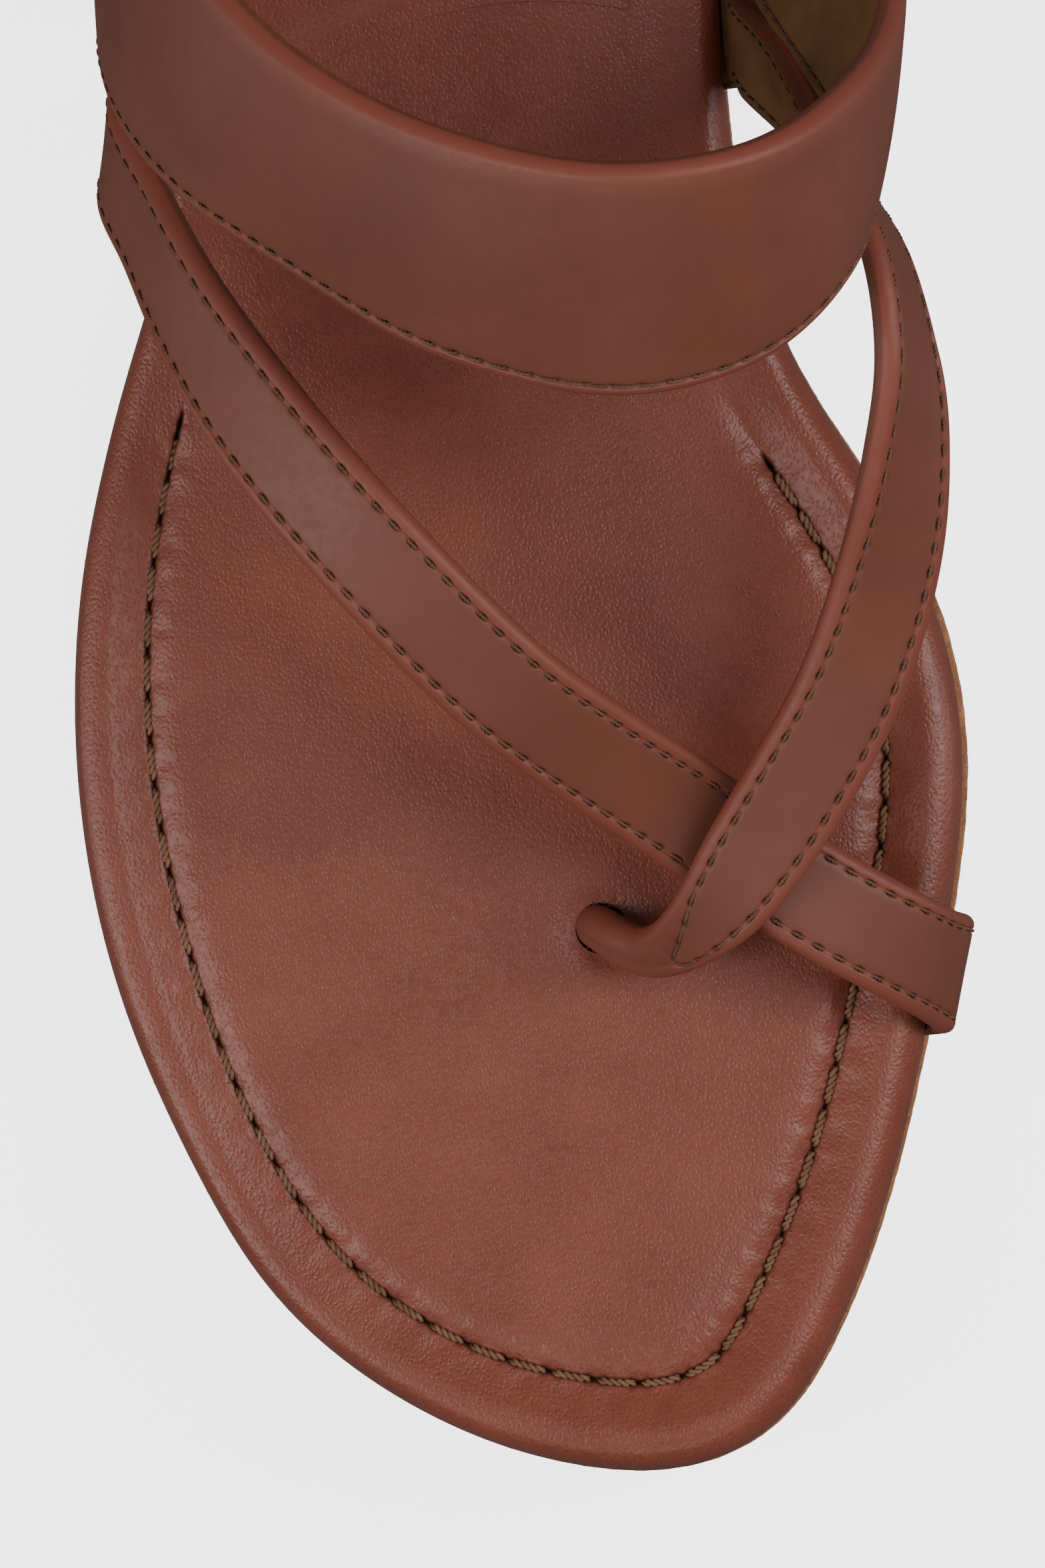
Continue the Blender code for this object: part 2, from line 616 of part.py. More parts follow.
def build():
    clear_scene()
    group = new_collection(NAME)
    hidden = new_collection("cutters")
    look = {
        "brown_leather": new_material("brown_leather", (0.19, 0.06, 0.04), 0.45),
        "lining_leather": new_material("lining_leather", (0.30, 0.17, 0.10), 0.6),
        "sole_leather": new_material("sole_leather", (0.36, 0.17, 0.08), 0.6),
        "board": new_material("board", (0.35, 0.25, 0.16), 0.8),
        "foam": new_material("foam", (0.60, 0.55, 0.45), 0.9),
        "thread": new_material("thread", (0.16, 0.09, 0.06), 0.7),
        "cord": new_material("cord", (0.45, 0.38, 0.28), 0.8),
        "rubber": new_material("rubber", (0.06, 0.04, 0.03), 0.7),
        "brass": new_material("brass", (0.62, 0.45, 0.18), 0.35, 1.0),
    }
    board, foam, cover = build_sole(group, look)
    build_heel(group, hidden, look)
    build_toe_post(group, hidden, look, board, foam, cover)
    build_straps(group, hidden, look, board, foam, cover)
    for cutter in hidden.objects:
        cutter.hide_render = True
        cutter.display_type = "WIRE"


build()
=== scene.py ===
"""Looks of a right-foot leather toe-post slide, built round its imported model.

Positions are millimetres in the shoe's own axes, as in the part: x across with the big-toe side
positive, y back from the toe tip, z up from the ground. Only the stage is placed in metres.
"""
import math

import bmesh
import bpy
import numpy as np
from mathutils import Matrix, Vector


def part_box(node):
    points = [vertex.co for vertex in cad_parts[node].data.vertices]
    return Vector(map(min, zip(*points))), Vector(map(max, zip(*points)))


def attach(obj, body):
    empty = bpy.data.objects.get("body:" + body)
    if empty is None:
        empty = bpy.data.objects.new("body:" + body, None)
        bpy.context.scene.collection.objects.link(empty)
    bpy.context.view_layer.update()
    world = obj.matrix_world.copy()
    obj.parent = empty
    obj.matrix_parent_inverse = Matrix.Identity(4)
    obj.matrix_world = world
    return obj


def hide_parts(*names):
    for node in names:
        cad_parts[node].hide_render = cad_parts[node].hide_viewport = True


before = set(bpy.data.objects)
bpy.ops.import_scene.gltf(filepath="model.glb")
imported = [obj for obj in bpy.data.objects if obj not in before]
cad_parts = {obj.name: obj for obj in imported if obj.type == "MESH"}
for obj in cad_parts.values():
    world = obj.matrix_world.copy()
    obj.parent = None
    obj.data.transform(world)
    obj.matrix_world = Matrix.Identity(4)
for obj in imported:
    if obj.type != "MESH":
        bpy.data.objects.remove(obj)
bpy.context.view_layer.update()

MM = 0.001
ORIGIN = (-5.0, 78.0)
GAP = 0.3
SEED = 7

# Sole, as in the part: outer edge of the outsole as (x, y, width of the ledge outside the
# footbed, width of the footbed's rim outside the stitching), from the toe tip back along the
# big-toe side, round the heel and home.
SOLE_EDGE = (
    (5.8, -0.7, 0.4, 8.8), (14.0, 2.5, 0.5, 8.9), (21.3, 12.0, 0.6, 9.0), (27.2, 24.5, 0.6, 8.5),
    (31.9, 38.6, 0.6, 8.1), (35.9, 52.0, 0.7, 7.9), (38.4, 68.0, 0.8, 7.7), (36.8, 81.0, 0.8, 7.7),
    (31.2, 93.6, 0.5, 7.6), (25.0, 105.0, 0.3, 7.6), (21.2, 118.0, 0.3, 7.3), (20.2, 131.0, 0.3, 7.3),
    (21.0, 146.0, 0.3, 7.3), (23.2, 172.0, 0.5, 7.3), (24.6, 204.0, 0.8, 7.3), (20.8, 230.0, 0.8, 7.3),
    (10.5, 243.6, 0.8, 7.3), (-4.5, 247.4, 0.8, 7.3), (-19.5, 243.6, 0.8, 7.3), (-29.8, 230.0, 0.8, 7.3),
    (-33.6, 204.0, 0.8, 7.3), (-33.6, 172.0, 0.6, 7.3), (-33.3, 146.0, 0.5, 7.0), (-35.6, 123.0, 0.4, 6.3),
    (-42.0, 106.4, 0.4, 6.4), (-47.1, 89.0, 0.4, 6.9), (-48.9, 70.0, 0.4, 7.5), (-47.1, 52.0, 0.4, 7.8),
    (-41.9, 35.2, 0.4, 7.2), (-33.1, 18.0, 0.4, 7.6), (-20.4, 6.8, 0.4, 7.9), (-7.6, 0.9, 0.4, 8.6),
)
HEEL_POINT = 17
SIDE_STEPS = 640
TOE_SPRING = 4.5
TOE_BREAK = 55.0
SHANK_START = 97.0
SHANK_END = 186.0
HEEL_RISE = 11.0
OUTSOLE_TOP = 3.6
TUCK_HEIGHT = OUTSOLE_TOP + 0.75 + 1.25
TUCK_DEPTH = 8.5

# Footbed cover: (inset from its edge, height) over the padded rim, and under it.
RIM = 7.3
COVER_TOP = (
    (1.6, 3.9), (0.9, 3.95), (0.35, 4.25), (0.05, 4.9), (0.0, 5.6), (0.06, 6.6), (0.22, 7.6),
    (0.5, 8.6), (0.85, 9.4), (1.25, 10.05), (1.65, 10.5), (2.1, 10.82), (2.7, 11.0), (3.5, 11.03),
    (4.8, 11.0), (6.2, 11.0), (8.0, 11.1), (10.8, 11.2),
)
COVER_UNDER = (
    (10.8, 9.9), (8.7, 9.6), (7.3, 8.8), (5.6, 9.7), (3.6, 9.7), (2.4, 9.2), (1.8, 7.8), (1.6, 3.9),
)
# Insets of the rings between the rim and the centre panel, and their distances from the seam.
PANEL_INSETS = (8.9, 9.3, 9.8, 10.3, 10.8)
SEAM_RINGS = (
    -2.2, -1.6, -1.2, -0.8, -0.5, -0.32, -0.18, -0.08, 0.0, 0.08, 0.18, 0.32, 0.5, 0.8, 1.2,
)
# How much further out the rim's ridge runs on the little-toe side, and how much shallower the
# groove is there.
LATERAL_RIDGE = 0.85
LATERAL_SHALLOW = 0.4
PANEL_COLUMNS = 64
GROOVE_END = (94.0, 106.0)
GROOVE_DEPTH = 0.95
SLIT_DEPTH = 0.55

# Footbed stitching.
SEAM_SPAN = (104.0, 95.0)
SEAM_PITCH = 4.3
SEAM_STITCH = 2.95
SEAM_THREAD = 0.4

# Strap stations, within 3 mm of the part's: x, y, z, width, heading and lift of the line across.
TOE_STRAP = (
    (-36.9, 134.4, 19.5, 10.6, 80, 12), (-38.4, 128.6, 26.0, 10.6, 75, 30),
    (-35.8, 121.5, 32.0, 10.6, 65, 40), (-32.0, 112.0, 38.0, 10.6, 55, 36),
    (-26.9, 102.5, 42.4, 10.6, 48, 24), (-17.2, 88.6, 44.8, 10.6, 44, 18),
    (-6.2, 75.6, 39.6, 10.6, 42, 16), (3.0, 67.8, 31.2, 10.6, 50, 14),
    (9.5, 62.8, 25.4, 10.6, 54, 8), (15.0, 58.4, 23.4, 10.6, 56, 2),
    (19.8, 54.7, 22.8, 10.6, 58, 0), (24.6, 51.3, 21.4, 10.6, 62, 0),
    (29.3, 48.3, 18.4, 10.7, 67, 0), (32.6, 46.2, 13.6, 11.0, 72, 0),
)
# The thong strap also has its half thickness, which grows where it rolls up into the toe post.
THONG_STRAP = (
    (0.1, 52.9, 5.4, 4.2, 90, 0, 2.05), (0.2, 52.8, 8.6, 4.2, 90, 0, 2.05),
    (1.0, 52.3, 12.0, 4.3, 95, 0, 2.05), (2.6, 51.1, 14.9, 4.6, 100, 0, 2.05),
    (4.9, 50.0, 17.8, 5.0, 112, 0, 1.9), (6.8, 50.2, 20.8, 5.5, 125, 0, 1.65),
    (8.7, 51.2, 23.7, 6.4, 135, 0, 1.4), (11.7, 53.7, 26.7, 8.2, 144, 0, 1.25),
    (15.0, 57.8, 29.0, 9.6, 147, 3, 1.2), (19.8, 64.2, 30.7, 10.2, 149, 8, 1.18),
    (24.9, 72.0, 32.6, 10.3, 154, 16, 1.18), (29.3, 82.4, 36.6, 10.4, 163, 27, 1.18),
    (31.8, 93.0, 41.4, 10.4, 172, 45, 1.18), (32.5, 103.2, 44.8, 10.4, 176, 63, 1.18),
    (31.6, 111.4, 44.0, 10.4, 168, 70, 1.18), (29.4, 118.4, 40.2, 10.2, 132, 60, 1.18),
    (26.7, 125.1, 33.6, 10.6, 106, 46, 1.18), (24.1, 130.9, 25.4, 10.8, 97, 30, 1.18),
    (22.0, 134.6, 18.6, 10.0, 93, 16, 1.18),
)
# Points along the front and the rear edge of the instep band.
BAND_FRONT = (
    (-36.0, 143.2, 19.5), (-37.6, 139.6, 26.4), (-37.4, 134.6, 33.6), (-35.2, 128.2, 40.8),
    (-31.0, 122.4, 46.6), (-22.3, 114.8, 54.2), (-7.2, 104.0, 63.0), (7.6, 100.0, 64.8),
    (17.6, 102.0, 62.8), (27.7, 111.4, 55.0), (29.4, 118.4, 48.4), (27.9, 125.2, 40.6),
    (25.3, 132.1, 31.2), (23.2, 138.6, 22.2),
)
BAND_REAR = (
    (-35.4, 166.6, 24.6), (-34.6, 160.0, 38.4), (-31.2, 150.2, 51.6), (-27.4, 141.6, 60.2),
    (-21.3, 133.2, 66.4), (-5.6, 122.2, 75.2), (7.6, 118.3, 78.8), (18.0, 119.2, 76.6),
    (28.2, 125.6, 66.4), (33.4, 134.2, 53.0), (34.2, 145.0, 39.8), (30.8, 156.0, 29.0),
    (26.2, 165.0, 22.6),
)
BAND_CAMBER = 0.7

# Strap sections: middle height, half thickness, roundness of the upper and the lower edge, the
# recess for the lining, and the width above which a strap needs columns across its middle.
STRAP_MIDDLE = 0.1
HALF_THICK = 1.18
EDGE_ROUND = 1.0
LOWER_ROUND = 0.5
RECESS = 0.42
WIDE = 14.0
STITCH_INSET = 1.45
EDGE_ANGLES = np.radians(np.linspace(0, 90, 8))
FOLD_WIDTH = 4.6
FOLD_HEIGHT = 0.05
LINING_COLUMNS = (0.58, 0.64, 0.9, 1.22, 1.34, 1.45, 1.56, 1.68, 1.9, 2.4, 3.1)
STITCH_PITCH = 2.3
STITCH_LENGTH = 1.4
STRAP_THREAD = 0.17

# Where the thong strap's two rows of stitching meet, along it from the post's foot.
TIP_START = 19.2
TIP_LENGTH = 8.0
TIP_LEAN = 1.1
TUCK_REACH = 13.0

# Toe post hole.
HOLE = (0.85, 52.4)
HOLE_RADIUS = 2.5

# Heel.
HEEL_BREAST = 190.0
HEEL_LAYERS = (
    ("heel_top_piece", 0.0, 3.6), ("heel_lift_lower", 3.9, 7.2), ("heel_lift_upper", 7.5, 10.7),
)
SOCK_FRONT = 140.0
SOCK_INSET = 3.4
SOCK_CORNER = 6.0

# Outsole's cut edge and a heel lift's side: (inset, height), the lift's from its top or its foot.
SOLE_PROFILE = (
    (0.9, 0.0), (0.35, 0.12), (0.08, 0.4), (0.0, 0.9), (0.02, 1.8), (0.0, 2.8), (0.05, 3.35),
    (0.25, 3.58), (0.7, 3.6), (3.6, 3.6),
)
LIFT_FOOT = ((1.4, 0.0), (0.95, 0.25), (0.85, 0.8))
LIFT_HEAD = ((0.8, -0.5), (0.95, -0.12), (1.5, 0.0))

# Loose fibres round the post's hole.
FIBRE_COUNT = 170
FIBRE_TAPER = ((0.0, 1.0), (0.4, 0.9), (0.75, 0.6), (1.0, 0.15))

# Camera: its place over the shoe, how far it is turned, and its lens.
VIEW_CENTRE = (-5.5, 66.9)
VIEW_HEIGHT = 561.2
VIEW_TURN = 5.0
VIEW_LENS = 130.95

# Stage, in metres and watts: a glowing floor, and lights as (name, place, width, height, power, colour).
FLOOR_REACH = 3.0
FLOOR_GLOW = 3.0
ROOM_GLOW = 0.13
LIGHT_AIM = (0.0, 0.0, 0.02)
LIGHTS = (
    ("softbox_left", (-0.66, -0.2, 0.78), 0.32, 1.0, 4.9, (1.0, 0.97, 0.98)),
    ("softbox_right", (0.66, 0.1, 0.78), 0.32, 1.0, 6.0, (1.0, 0.97, 0.98)),
    ("softbox_toe", (0.0, -0.75, 0.85), 0.9, 0.4, 1.8, (1.0, 0.98, 0.96)),
    ("low_fill_left", (-0.85, 0.0, 0.24), 0.3, 1.1, 1.7, (1.0, 0.95, 0.97)),
    ("low_fill_right", (0.85, 0.0, 0.24), 0.3, 1.1, 1.7, (1.0, 0.95, 0.97)),
)


# ---------------------------------------------------------------- curves and surfaces

def placed(points):
    """Millimetres in the shoe's axes to metres from the model's origin."""
    moved = np.array(points, float)
    moved[..., 0] -= ORIGIN[0]
    moved[..., 1] -= ORIGIN[1]
    return moved * MM


def unit(vectors):
    return vectors / np.maximum(np.linalg.norm(vectors, axis=-1, keepdims=True), 1e-9)


def bell(distance, width):
    return np.exp(-(distance / width) ** 2)


def smooth_step(low, high, value):
    t = np.clip((value - low) / (high - low), 0.0, 1.0)
    return t * t * (3 - 2 * t)


def smooth_path(points, count, axes=3):
    """Evenly spaced points on a smooth curve through the given ones."""
    knots = np.array(points, float)
    steps = np.linalg.norm(np.diff(knots[:, :axes], axis=0), axis=1)
    at = np.concatenate([[0.0], np.cumsum(steps)])
    slopes = np.gradient(knots, at, axis=0)
    fine = np.linspace(0.0, at[-1], 40 * len(knots))
    piece = np.clip(np.searchsorted(at, fine, side="right") - 1, 0, len(at) - 2)
    span = (at[piece + 1] - at[piece])[:, None]
    t = (fine - at[piece])[:, None] / span
    curve = (
        (2 * t**3 - 3 * t**2 + 1) * knots[piece]
        + (t**3 - 2 * t**2 + t) * span * slopes[piece]
        + (3 * t**2 - 2 * t**3) * knots[piece + 1]
        + (t**3 - t**2) * span * slopes[piece + 1]
    )
    run = run_length(curve[:, :axes])
    even = np.linspace(0.0, run[-1], count)
    return np.stack([np.interp(even, run, column) for column in curve.T], axis=1)


def run_length(points):
    """Distance along a path, point by point."""
    steps = np.linalg.norm(np.diff(points, axis=0), axis=1)
    return np.concatenate([[0.0], np.cumsum(steps)])


def softened(points, reach, closed=False):
    """Points averaged with their neighbours, to even out the bends."""
    weights = np.hanning(2 * reach + 3)[1:-1]
    weights /= weights.sum()
    edges = ((reach, reach), (0, 0))
    if closed:
        padded = np.pad(points, edges, mode="wrap")
    else:
        padded = np.pad(points, edges, mode="reflect", reflect_type="odd")
    return np.stack([np.convolve(column, weights, "valid") for column in padded.T], axis=1)


def ripples(s, d, seed, waves, slant=0.4):
    """Irregular small wrinkles running across a seam."""
    rng = np.random.default_rng(seed)
    total = np.zeros(np.broadcast(s, d).shape)
    for length, height in waves:
        phase = rng.uniform(0, 2 * math.pi, 3)
        lean = slant * rng.uniform(-1, 1)
        wobble = 0.9 * np.sin(s / (3.1 * length) + phase[1])
        wobble = wobble + 0.7 * np.sin(s / (7.7 * length) + phase[2])
        total = total + height * np.sin(2 * math.pi * (s + lean * d) / length + phase[0] + wobble)
    return total


def sole_edge():
    """Outsole edge with the toe tip first and the heel's end half-way."""
    wrapped = SOLE_EDGE[-3:] + SOLE_EDGE + SOLE_EDGE[:3]
    dense = smooth_path(wrapped, 8000, axes=2)
    tip = np.argmin(np.linalg.norm(dense[:4000, :2] - SOLE_EDGE[0][:2], axis=1))
    back = np.argmin(np.linalg.norm(dense[:, :2] - SOLE_EDGE[HEEL_POINT][:2], axis=1))
    home = 4000 + np.argmin(np.linalg.norm(dense[4000:, :2] - SOLE_EDGE[0][:2], axis=1))
    medial = smooth_path(dense[tip:back:10], SIDE_STEPS + 1, axes=2)[:-1]
    lateral = smooth_path(dense[back:home:10], SIDE_STEPS + 1, axes=2)[:-1]
    return softened(np.vstack([medial, lateral]), 22, closed=True)


EDGE = sole_edge()
EDGE_RUN = unit(np.roll(EDGE[:, :2], -1, axis=0) - np.roll(EDGE[:, :2], 1, axis=0))
EDGE_INWARD = np.stack([-EDGE_RUN[:, 1], EDGE_RUN[:, 0]], axis=1)
LATERAL = np.clip(EDGE_INWARD[:, 0], 0.0, 1.0)


def inset_loop(inset, on_footbed=True):
    """Sole edge moved inwards: by rim shares from the footbed's edge, or from the outsole's."""
    distance = inset * EDGE[:, 3] / RIM + EDGE[:, 2] if on_footbed else np.full(len(EDGE), inset)
    return EDGE[:, :2] + EDGE_INWARD * distance[:, None]


def sole_rise(y):
    """Height of the sole's underside above the ground."""
    toe = np.clip((TOE_BREAK - y) / TOE_BREAK, 0.0, None)
    shank = np.clip((y - SHANK_START) / (SHANK_END - SHANK_START), 0.0, 1.0)
    return TOE_SPRING * toe**2 + HEEL_RISE * shank**2 * (3 - 2 * shank)


def sole_slope(y):
    return math.degrees(math.atan(sole_rise(y + 0.5) - sole_rise(y - 0.5)))


# ---------------------------------------------------------------- meshes

def add_object(name, mesh, material, smooth_angle=None):
    thing = bpy.data.objects.new(name, mesh)
    bpy.context.scene.collection.objects.link(thing)
    mesh.materials.append(material)
    mesh.shade_smooth()
    if smooth_angle:
        mesh.set_sharp_from_angle(angle=math.radians(smooth_angle))
    return thing


def mesh_of(name, points, faces, marks=None):
    """Mesh from points in the shoe's axes, with named values from 0 to 1 at its points."""
    mesh = bpy.data.meshes.new(name)
    mesh.from_pydata(placed(points).tolist(), [], faces)
    for label, values in (marks or {}).items():
        layer = mesh.attributes.new(label, "FLOAT", "POINT")
        layer.data.foreach_set("value", np.asarray(values, np.float32).ravel())
    return mesh


def outward(mesh):
    work = bmesh.new()
    work.from_mesh(mesh)
    bmesh.ops.recalc_face_normals(work, faces=work.faces)
    work.to_mesh(mesh)
    work.free()


def closed_object(name, points, faces, material, marks=None, smooth_angle=None):
    """Object from a closed mesh, its faces turned outwards."""
    mesh = mesh_of(name, points, faces, marks)
    outward(mesh)
    return add_object(name, mesh, material, smooth_angle)


def wrap_faces(rows, columns):
    """Faces of a grid whose columns close on themselves."""
    faces = []
    for r in range(rows - 1):
        here = r * columns
        there = here + columns
        for c in range(columns):
            d = (c + 1) % columns
            faces.append((here + c, here + d, there + d, there + c))
    return faces


def rung_faces(first, count):
    """Faces that fill a ring of points by rungs across it."""
    half = count // 2
    faces = [(first, first + 1, first + count - 1)]
    for i in range(1, half - 1):
        faces.append((first + i, first + i + 1, first + count - i - 1, first + count - i))
    faces.append((first + half - 1, first + half, first + half + 1))
    return faces


def loop_solid(name, rings, material, smooth_angle=40):
    """Closed body through a stack of rings, the first and last filled in."""
    count = len(rings[0])
    faces = wrap_faces(len(rings), count)
    faces += rung_faces(0, count)
    faces += rung_faces((len(rings) - 1) * count, count)
    return closed_object(name, np.vstack(rings), faces, material, None, smooth_angle)


def cut(target, cutters):
    """Takes closed cutters out of a closed piece, and removes them."""
    for cutter in cutters:
        step = target.modifiers.new(cutter.name, "BOOLEAN")
        step.operation = "DIFFERENCE"
        step.solver = "MANIFOLD"
        step.object = cutter
    bpy.context.view_layer.update()
    graph = bpy.context.evaluated_depsgraph_get()
    done = bpy.data.meshes.new_from_object(target.evaluated_get(graph))
    target.modifiers.clear()
    target.data = done
    for cutter in cutters:
        bpy.data.objects.remove(cutter)


# ---------------------------------------------------------------- materials

class Paint:
    """A Principled material and the nodes that feed it."""

    def __init__(self, name, roughness, specular=0.5):
        self.material = bpy.data.materials.new(name)
        self.material.use_nodes = True
        self.tree = self.material.node_tree
        self.shader = self.tree.nodes["Principled BSDF"]
        self.shader.inputs["Roughness"].default_value = roughness
        self.shader.inputs["Specular IOR Level"].default_value = specular
        self.place = self.add("ShaderNodeTexCoord").outputs["Object"]

    def add(self, kind, values=None, **settings):
        node = self.tree.nodes.new(kind)
        for key, value in settings.items():
            setattr(node, key, value)
        for key, value in (values or {}).items():
            self.feed(node.inputs[key], value)
        return node

    def feed(self, socket, value):
        """Links another node's output to a socket, or sets the socket's own value."""
        if isinstance(value, bpy.types.NodeSocket):
            self.tree.links.new(value, socket)
        else:
            socket.default_value = value

    def stretched(self, scale):
        return self.add("ShaderNodeMapping", {"Vector": self.place, "Scale": scale}).outputs["Vector"]

    def noise(self, size, detail=2.0, rough=0.5, place=None):
        """Noise whose blotches are about size millimetres across."""
        values = {
            "Vector": place or self.place, "Scale": 1 / (size * MM), "Detail": detail, "Roughness": rough,
        }
        return self.add("ShaderNodeTexNoise", values).outputs["Fac"]

    def cells(self, size, feature="DISTANCE_TO_EDGE", place=None):
        """Distance within cells about size millimetres across."""
        values = {"Vector": place or self.place, "Scale": 1 / (size * MM)}
        return self.add("ShaderNodeTexVoronoi", values, feature=feature).outputs["Distance"]

    def span(self, value, low, high, to_low=0.0, to_high=1.0):
        """Value from one range to another, kept within it."""
        values = {
            "Value": value, "From Min": low, "From Max": high, "To Min": to_low, "To Max": to_high,
        }
        return self.add("ShaderNodeMapRange", values).outputs["Result"]

    def maths(self, operation, a, b):
        node = self.add("ShaderNodeMath", {0: a, 1: b}, operation=operation)
        return node.outputs["Value"]

    def mix(self, share, first, second):
        """Blend of two colours."""
        node = self.add("ShaderNodeMix", data_type="RGBA")
        sockets = {socket.name: socket for socket in node.inputs if socket.enabled}
        self.feed(sockets["Factor"], share)
        for key, colour in (("A", first), ("B", second)):
            self.feed(sockets[key], (*colour, 1.0) if isinstance(colour, tuple) else colour)
        return next(out for out in node.outputs if out.type == "RGBA")

    def mark(self, name):
        """Value that the mesh carries at its points."""
        return self.add("ShaderNodeAttribute", attribute_name=name).outputs["Fac"]

    def bump(self, height, strength, depth, below=None):
        """Bump of a height map, depth in millimetres, on top of an earlier one."""
        values = {"Height": height, "Strength": strength, "Distance": depth * MM}
        if below:
            values["Normal"] = below
        return self.add("ShaderNodeBump", values).outputs["Normal"]

    def finish(self, colour, normal=None, roughness=None):
        self.tree.links.new(colour, self.shader.inputs["Base Color"])
        if normal:
            self.tree.links.new(normal, self.shader.inputs["Normal"])
        if roughness:
            self.tree.links.new(roughness, self.shader.inputs["Roughness"])
        return self.material


def footbed_leather():
    """Satin leather with a fine net of raised grain round darker pits, blotchy in tone, with pale painted
    highlights on the net.
    """
    paint = Paint("footbed_leather", 0.36, 0.43)
    drift = paint.add("ShaderNodeTexNoise", {"Vector": paint.place, "Scale": 1100.0, "Detail": 2.0})
    shift = {0: drift.outputs["Color"], 1: (0.0003, 0.0003, 0.0003)}
    offset = paint.add("ShaderNodeVectorMath", shift, operation="MULTIPLY").outputs["Vector"]
    warped = paint.add("ShaderNodeVectorMath", {0: paint.place, 1: offset}, operation="ADD")
    long_grain = paint.add(
        "ShaderNodeMapping", {"Vector": warped.outputs["Vector"], "Scale": (1.0, 0.8, 1.0)},
    ).outputs["Vector"]
    net = paint.span(paint.cells(0.36, "F1", long_grain), 0.12, 0.6)
    pores = paint.noise(0.2, 2.0, 0.6)
    waves = paint.noise(1.8, 3.0, 0.55)
    tone = paint.span(paint.noise(9.0, 4.0, 0.6), 0.3, 0.7)
    # Pale specks on the raised net: painted highlights for the grain's glints.
    painted_glints = paint.maths("MULTIPLY", paint.span(paint.noise(0.22, 1.0), 0.55, 0.75), net)
    colour = paint.mix(tone, (0.2, 0.05, 0.03), (0.245, 0.066, 0.04))
    # Darker pits: partly dye held in them, partly painted shade.
    colour = paint.mix(paint.span(net, 0.5, 0.0, 0.0, 0.45), colour, (0.11, 0.026, 0.016))
    colour = paint.mix(paint.maths("MULTIPLY", painted_glints, 0.2), colour, (0.46, 0.22, 0.15))
    # Painted shade: darkens the seam's slit and stitch holes where the mesh's shade mark is high.
    colour = paint.mix(paint.mark("painted_shade"), colour, (0.03, 0.012, 0.008))
    normal = paint.bump(waves, 0.15, 0.1)
    normal = paint.bump(net, 0.7, 0.042, normal)
    normal = paint.bump(pores, 0.2, 0.02, normal)
    roughness = paint.span(paint.noise(0.5, 2.0), 0.3, 0.7, 0.3, 0.4)
    return paint.finish(colour, normal, roughness)


def strap_leather():
    """Smoother leather of the straps, with a redder turned edge that is painted lighter towards its
    outside as a painted sheen.
    """
    paint = Paint("strap_leather", 0.5, 0.36)
    pebbles = paint.span(paint.cells(0.5), 0.0, 0.3)
    pores = paint.noise(0.25, 2.0, 0.6)
    waves = paint.noise(3.0, 3.0, 0.5)
    tone = paint.span(paint.noise(14.0, 4.0, 0.6), 0.3, 0.7)
    colour = paint.mix(tone, (0.152, 0.048, 0.029), (0.185, 0.06, 0.037))
    # Edge mark: redder leather at the turned edge, and painted sheen where it rounds over.
    colour = paint.mix(paint.mark("edge"), colour, (0.27, 0.07, 0.045))
    # Painted shade at the stitch holes, from the mesh's shade mark.
    colour = paint.mix(paint.mark("painted_shade"), colour, (0.07, 0.028, 0.017))
    normal = paint.bump(waves, 0.2, 0.15)
    normal = paint.bump(pebbles, 0.12, 0.04, normal)
    normal = paint.bump(pores, 0.18, 0.03, normal)
    roughness = paint.span(paint.noise(0.8, 2.0), 0.3, 0.7, 0.45, 0.55)
    return paint.finish(colour, normal, roughness)


def lining_leather():
    """Matt tan lining, with a fine nap and darker handled patches."""
    paint = Paint("lining_leather", 0.62, 0.35)
    nap = paint.noise(0.18, 3.0, 0.7)
    tone = paint.span(paint.noise(6.0, 4.0, 0.6), 0.3, 0.7)
    colour = paint.mix(tone, (0.17, 0.085, 0.034), (0.25, 0.13, 0.055))
    # Painted shade in the stitch dimples, from the mesh's shade mark.
    colour = paint.mix(paint.mark("painted_shade"), colour, (0.04, 0.02, 0.01))
    normal = paint.bump(nap, 0.35, 0.05)
    return paint.finish(colour, normal, paint.span(nap, 0.3, 0.7, 0.55, 0.7))


def sole_leather():
    """Cut edge of the sole: packed fibres, golden where they catch the light, with dark pores."""
    paint = Paint("sole_leather", 0.6, 0.35)
    along = paint.stretched((1.0, 1.0, 3.2))
    fibres = paint.noise(0.5, 6.0, 0.75, along)
    specks = paint.span(paint.noise(0.3, 2.0, 0.6), 0.56, 0.66)
    gold = paint.span(paint.noise(0.8, 5.0, 0.8), 0.5, 0.7)
    tone = paint.span(paint.noise(5.0, 3.0), 0.35, 0.65)
    colour = paint.mix(tone, (0.33, 0.14, 0.065), (0.44, 0.2, 0.09))
    colour = paint.mix(gold, colour, (0.62, 0.28, 0.09))
    colour = paint.mix(paint.maths("MULTIPLY", specks, 0.7), colour, (0.10, 0.06, 0.045))
    normal = paint.bump(fibres, 0.7, 0.12)
    return paint.finish(colour, normal, paint.span(fibres, 0.3, 0.7, 0.45, 0.75))


def thread_paint(name, low, high):
    """Waxed tan-brown thread, darker between its fibres."""
    paint = Paint(name, 0.6, 0.3)
    fibres = paint.noise(0.09, 3.0, 0.7)
    tone = paint.span(paint.noise(3.0, 3.0), 0.35, 0.65)
    colour = paint.mix(tone, low, high)
    colour = paint.mix(paint.span(fibres, 0.55, 0.75), colour, tuple(1.7 * part for part in high))
    normal = paint.bump(fibres, 0.6, 0.04)
    return paint.finish(colour, normal)


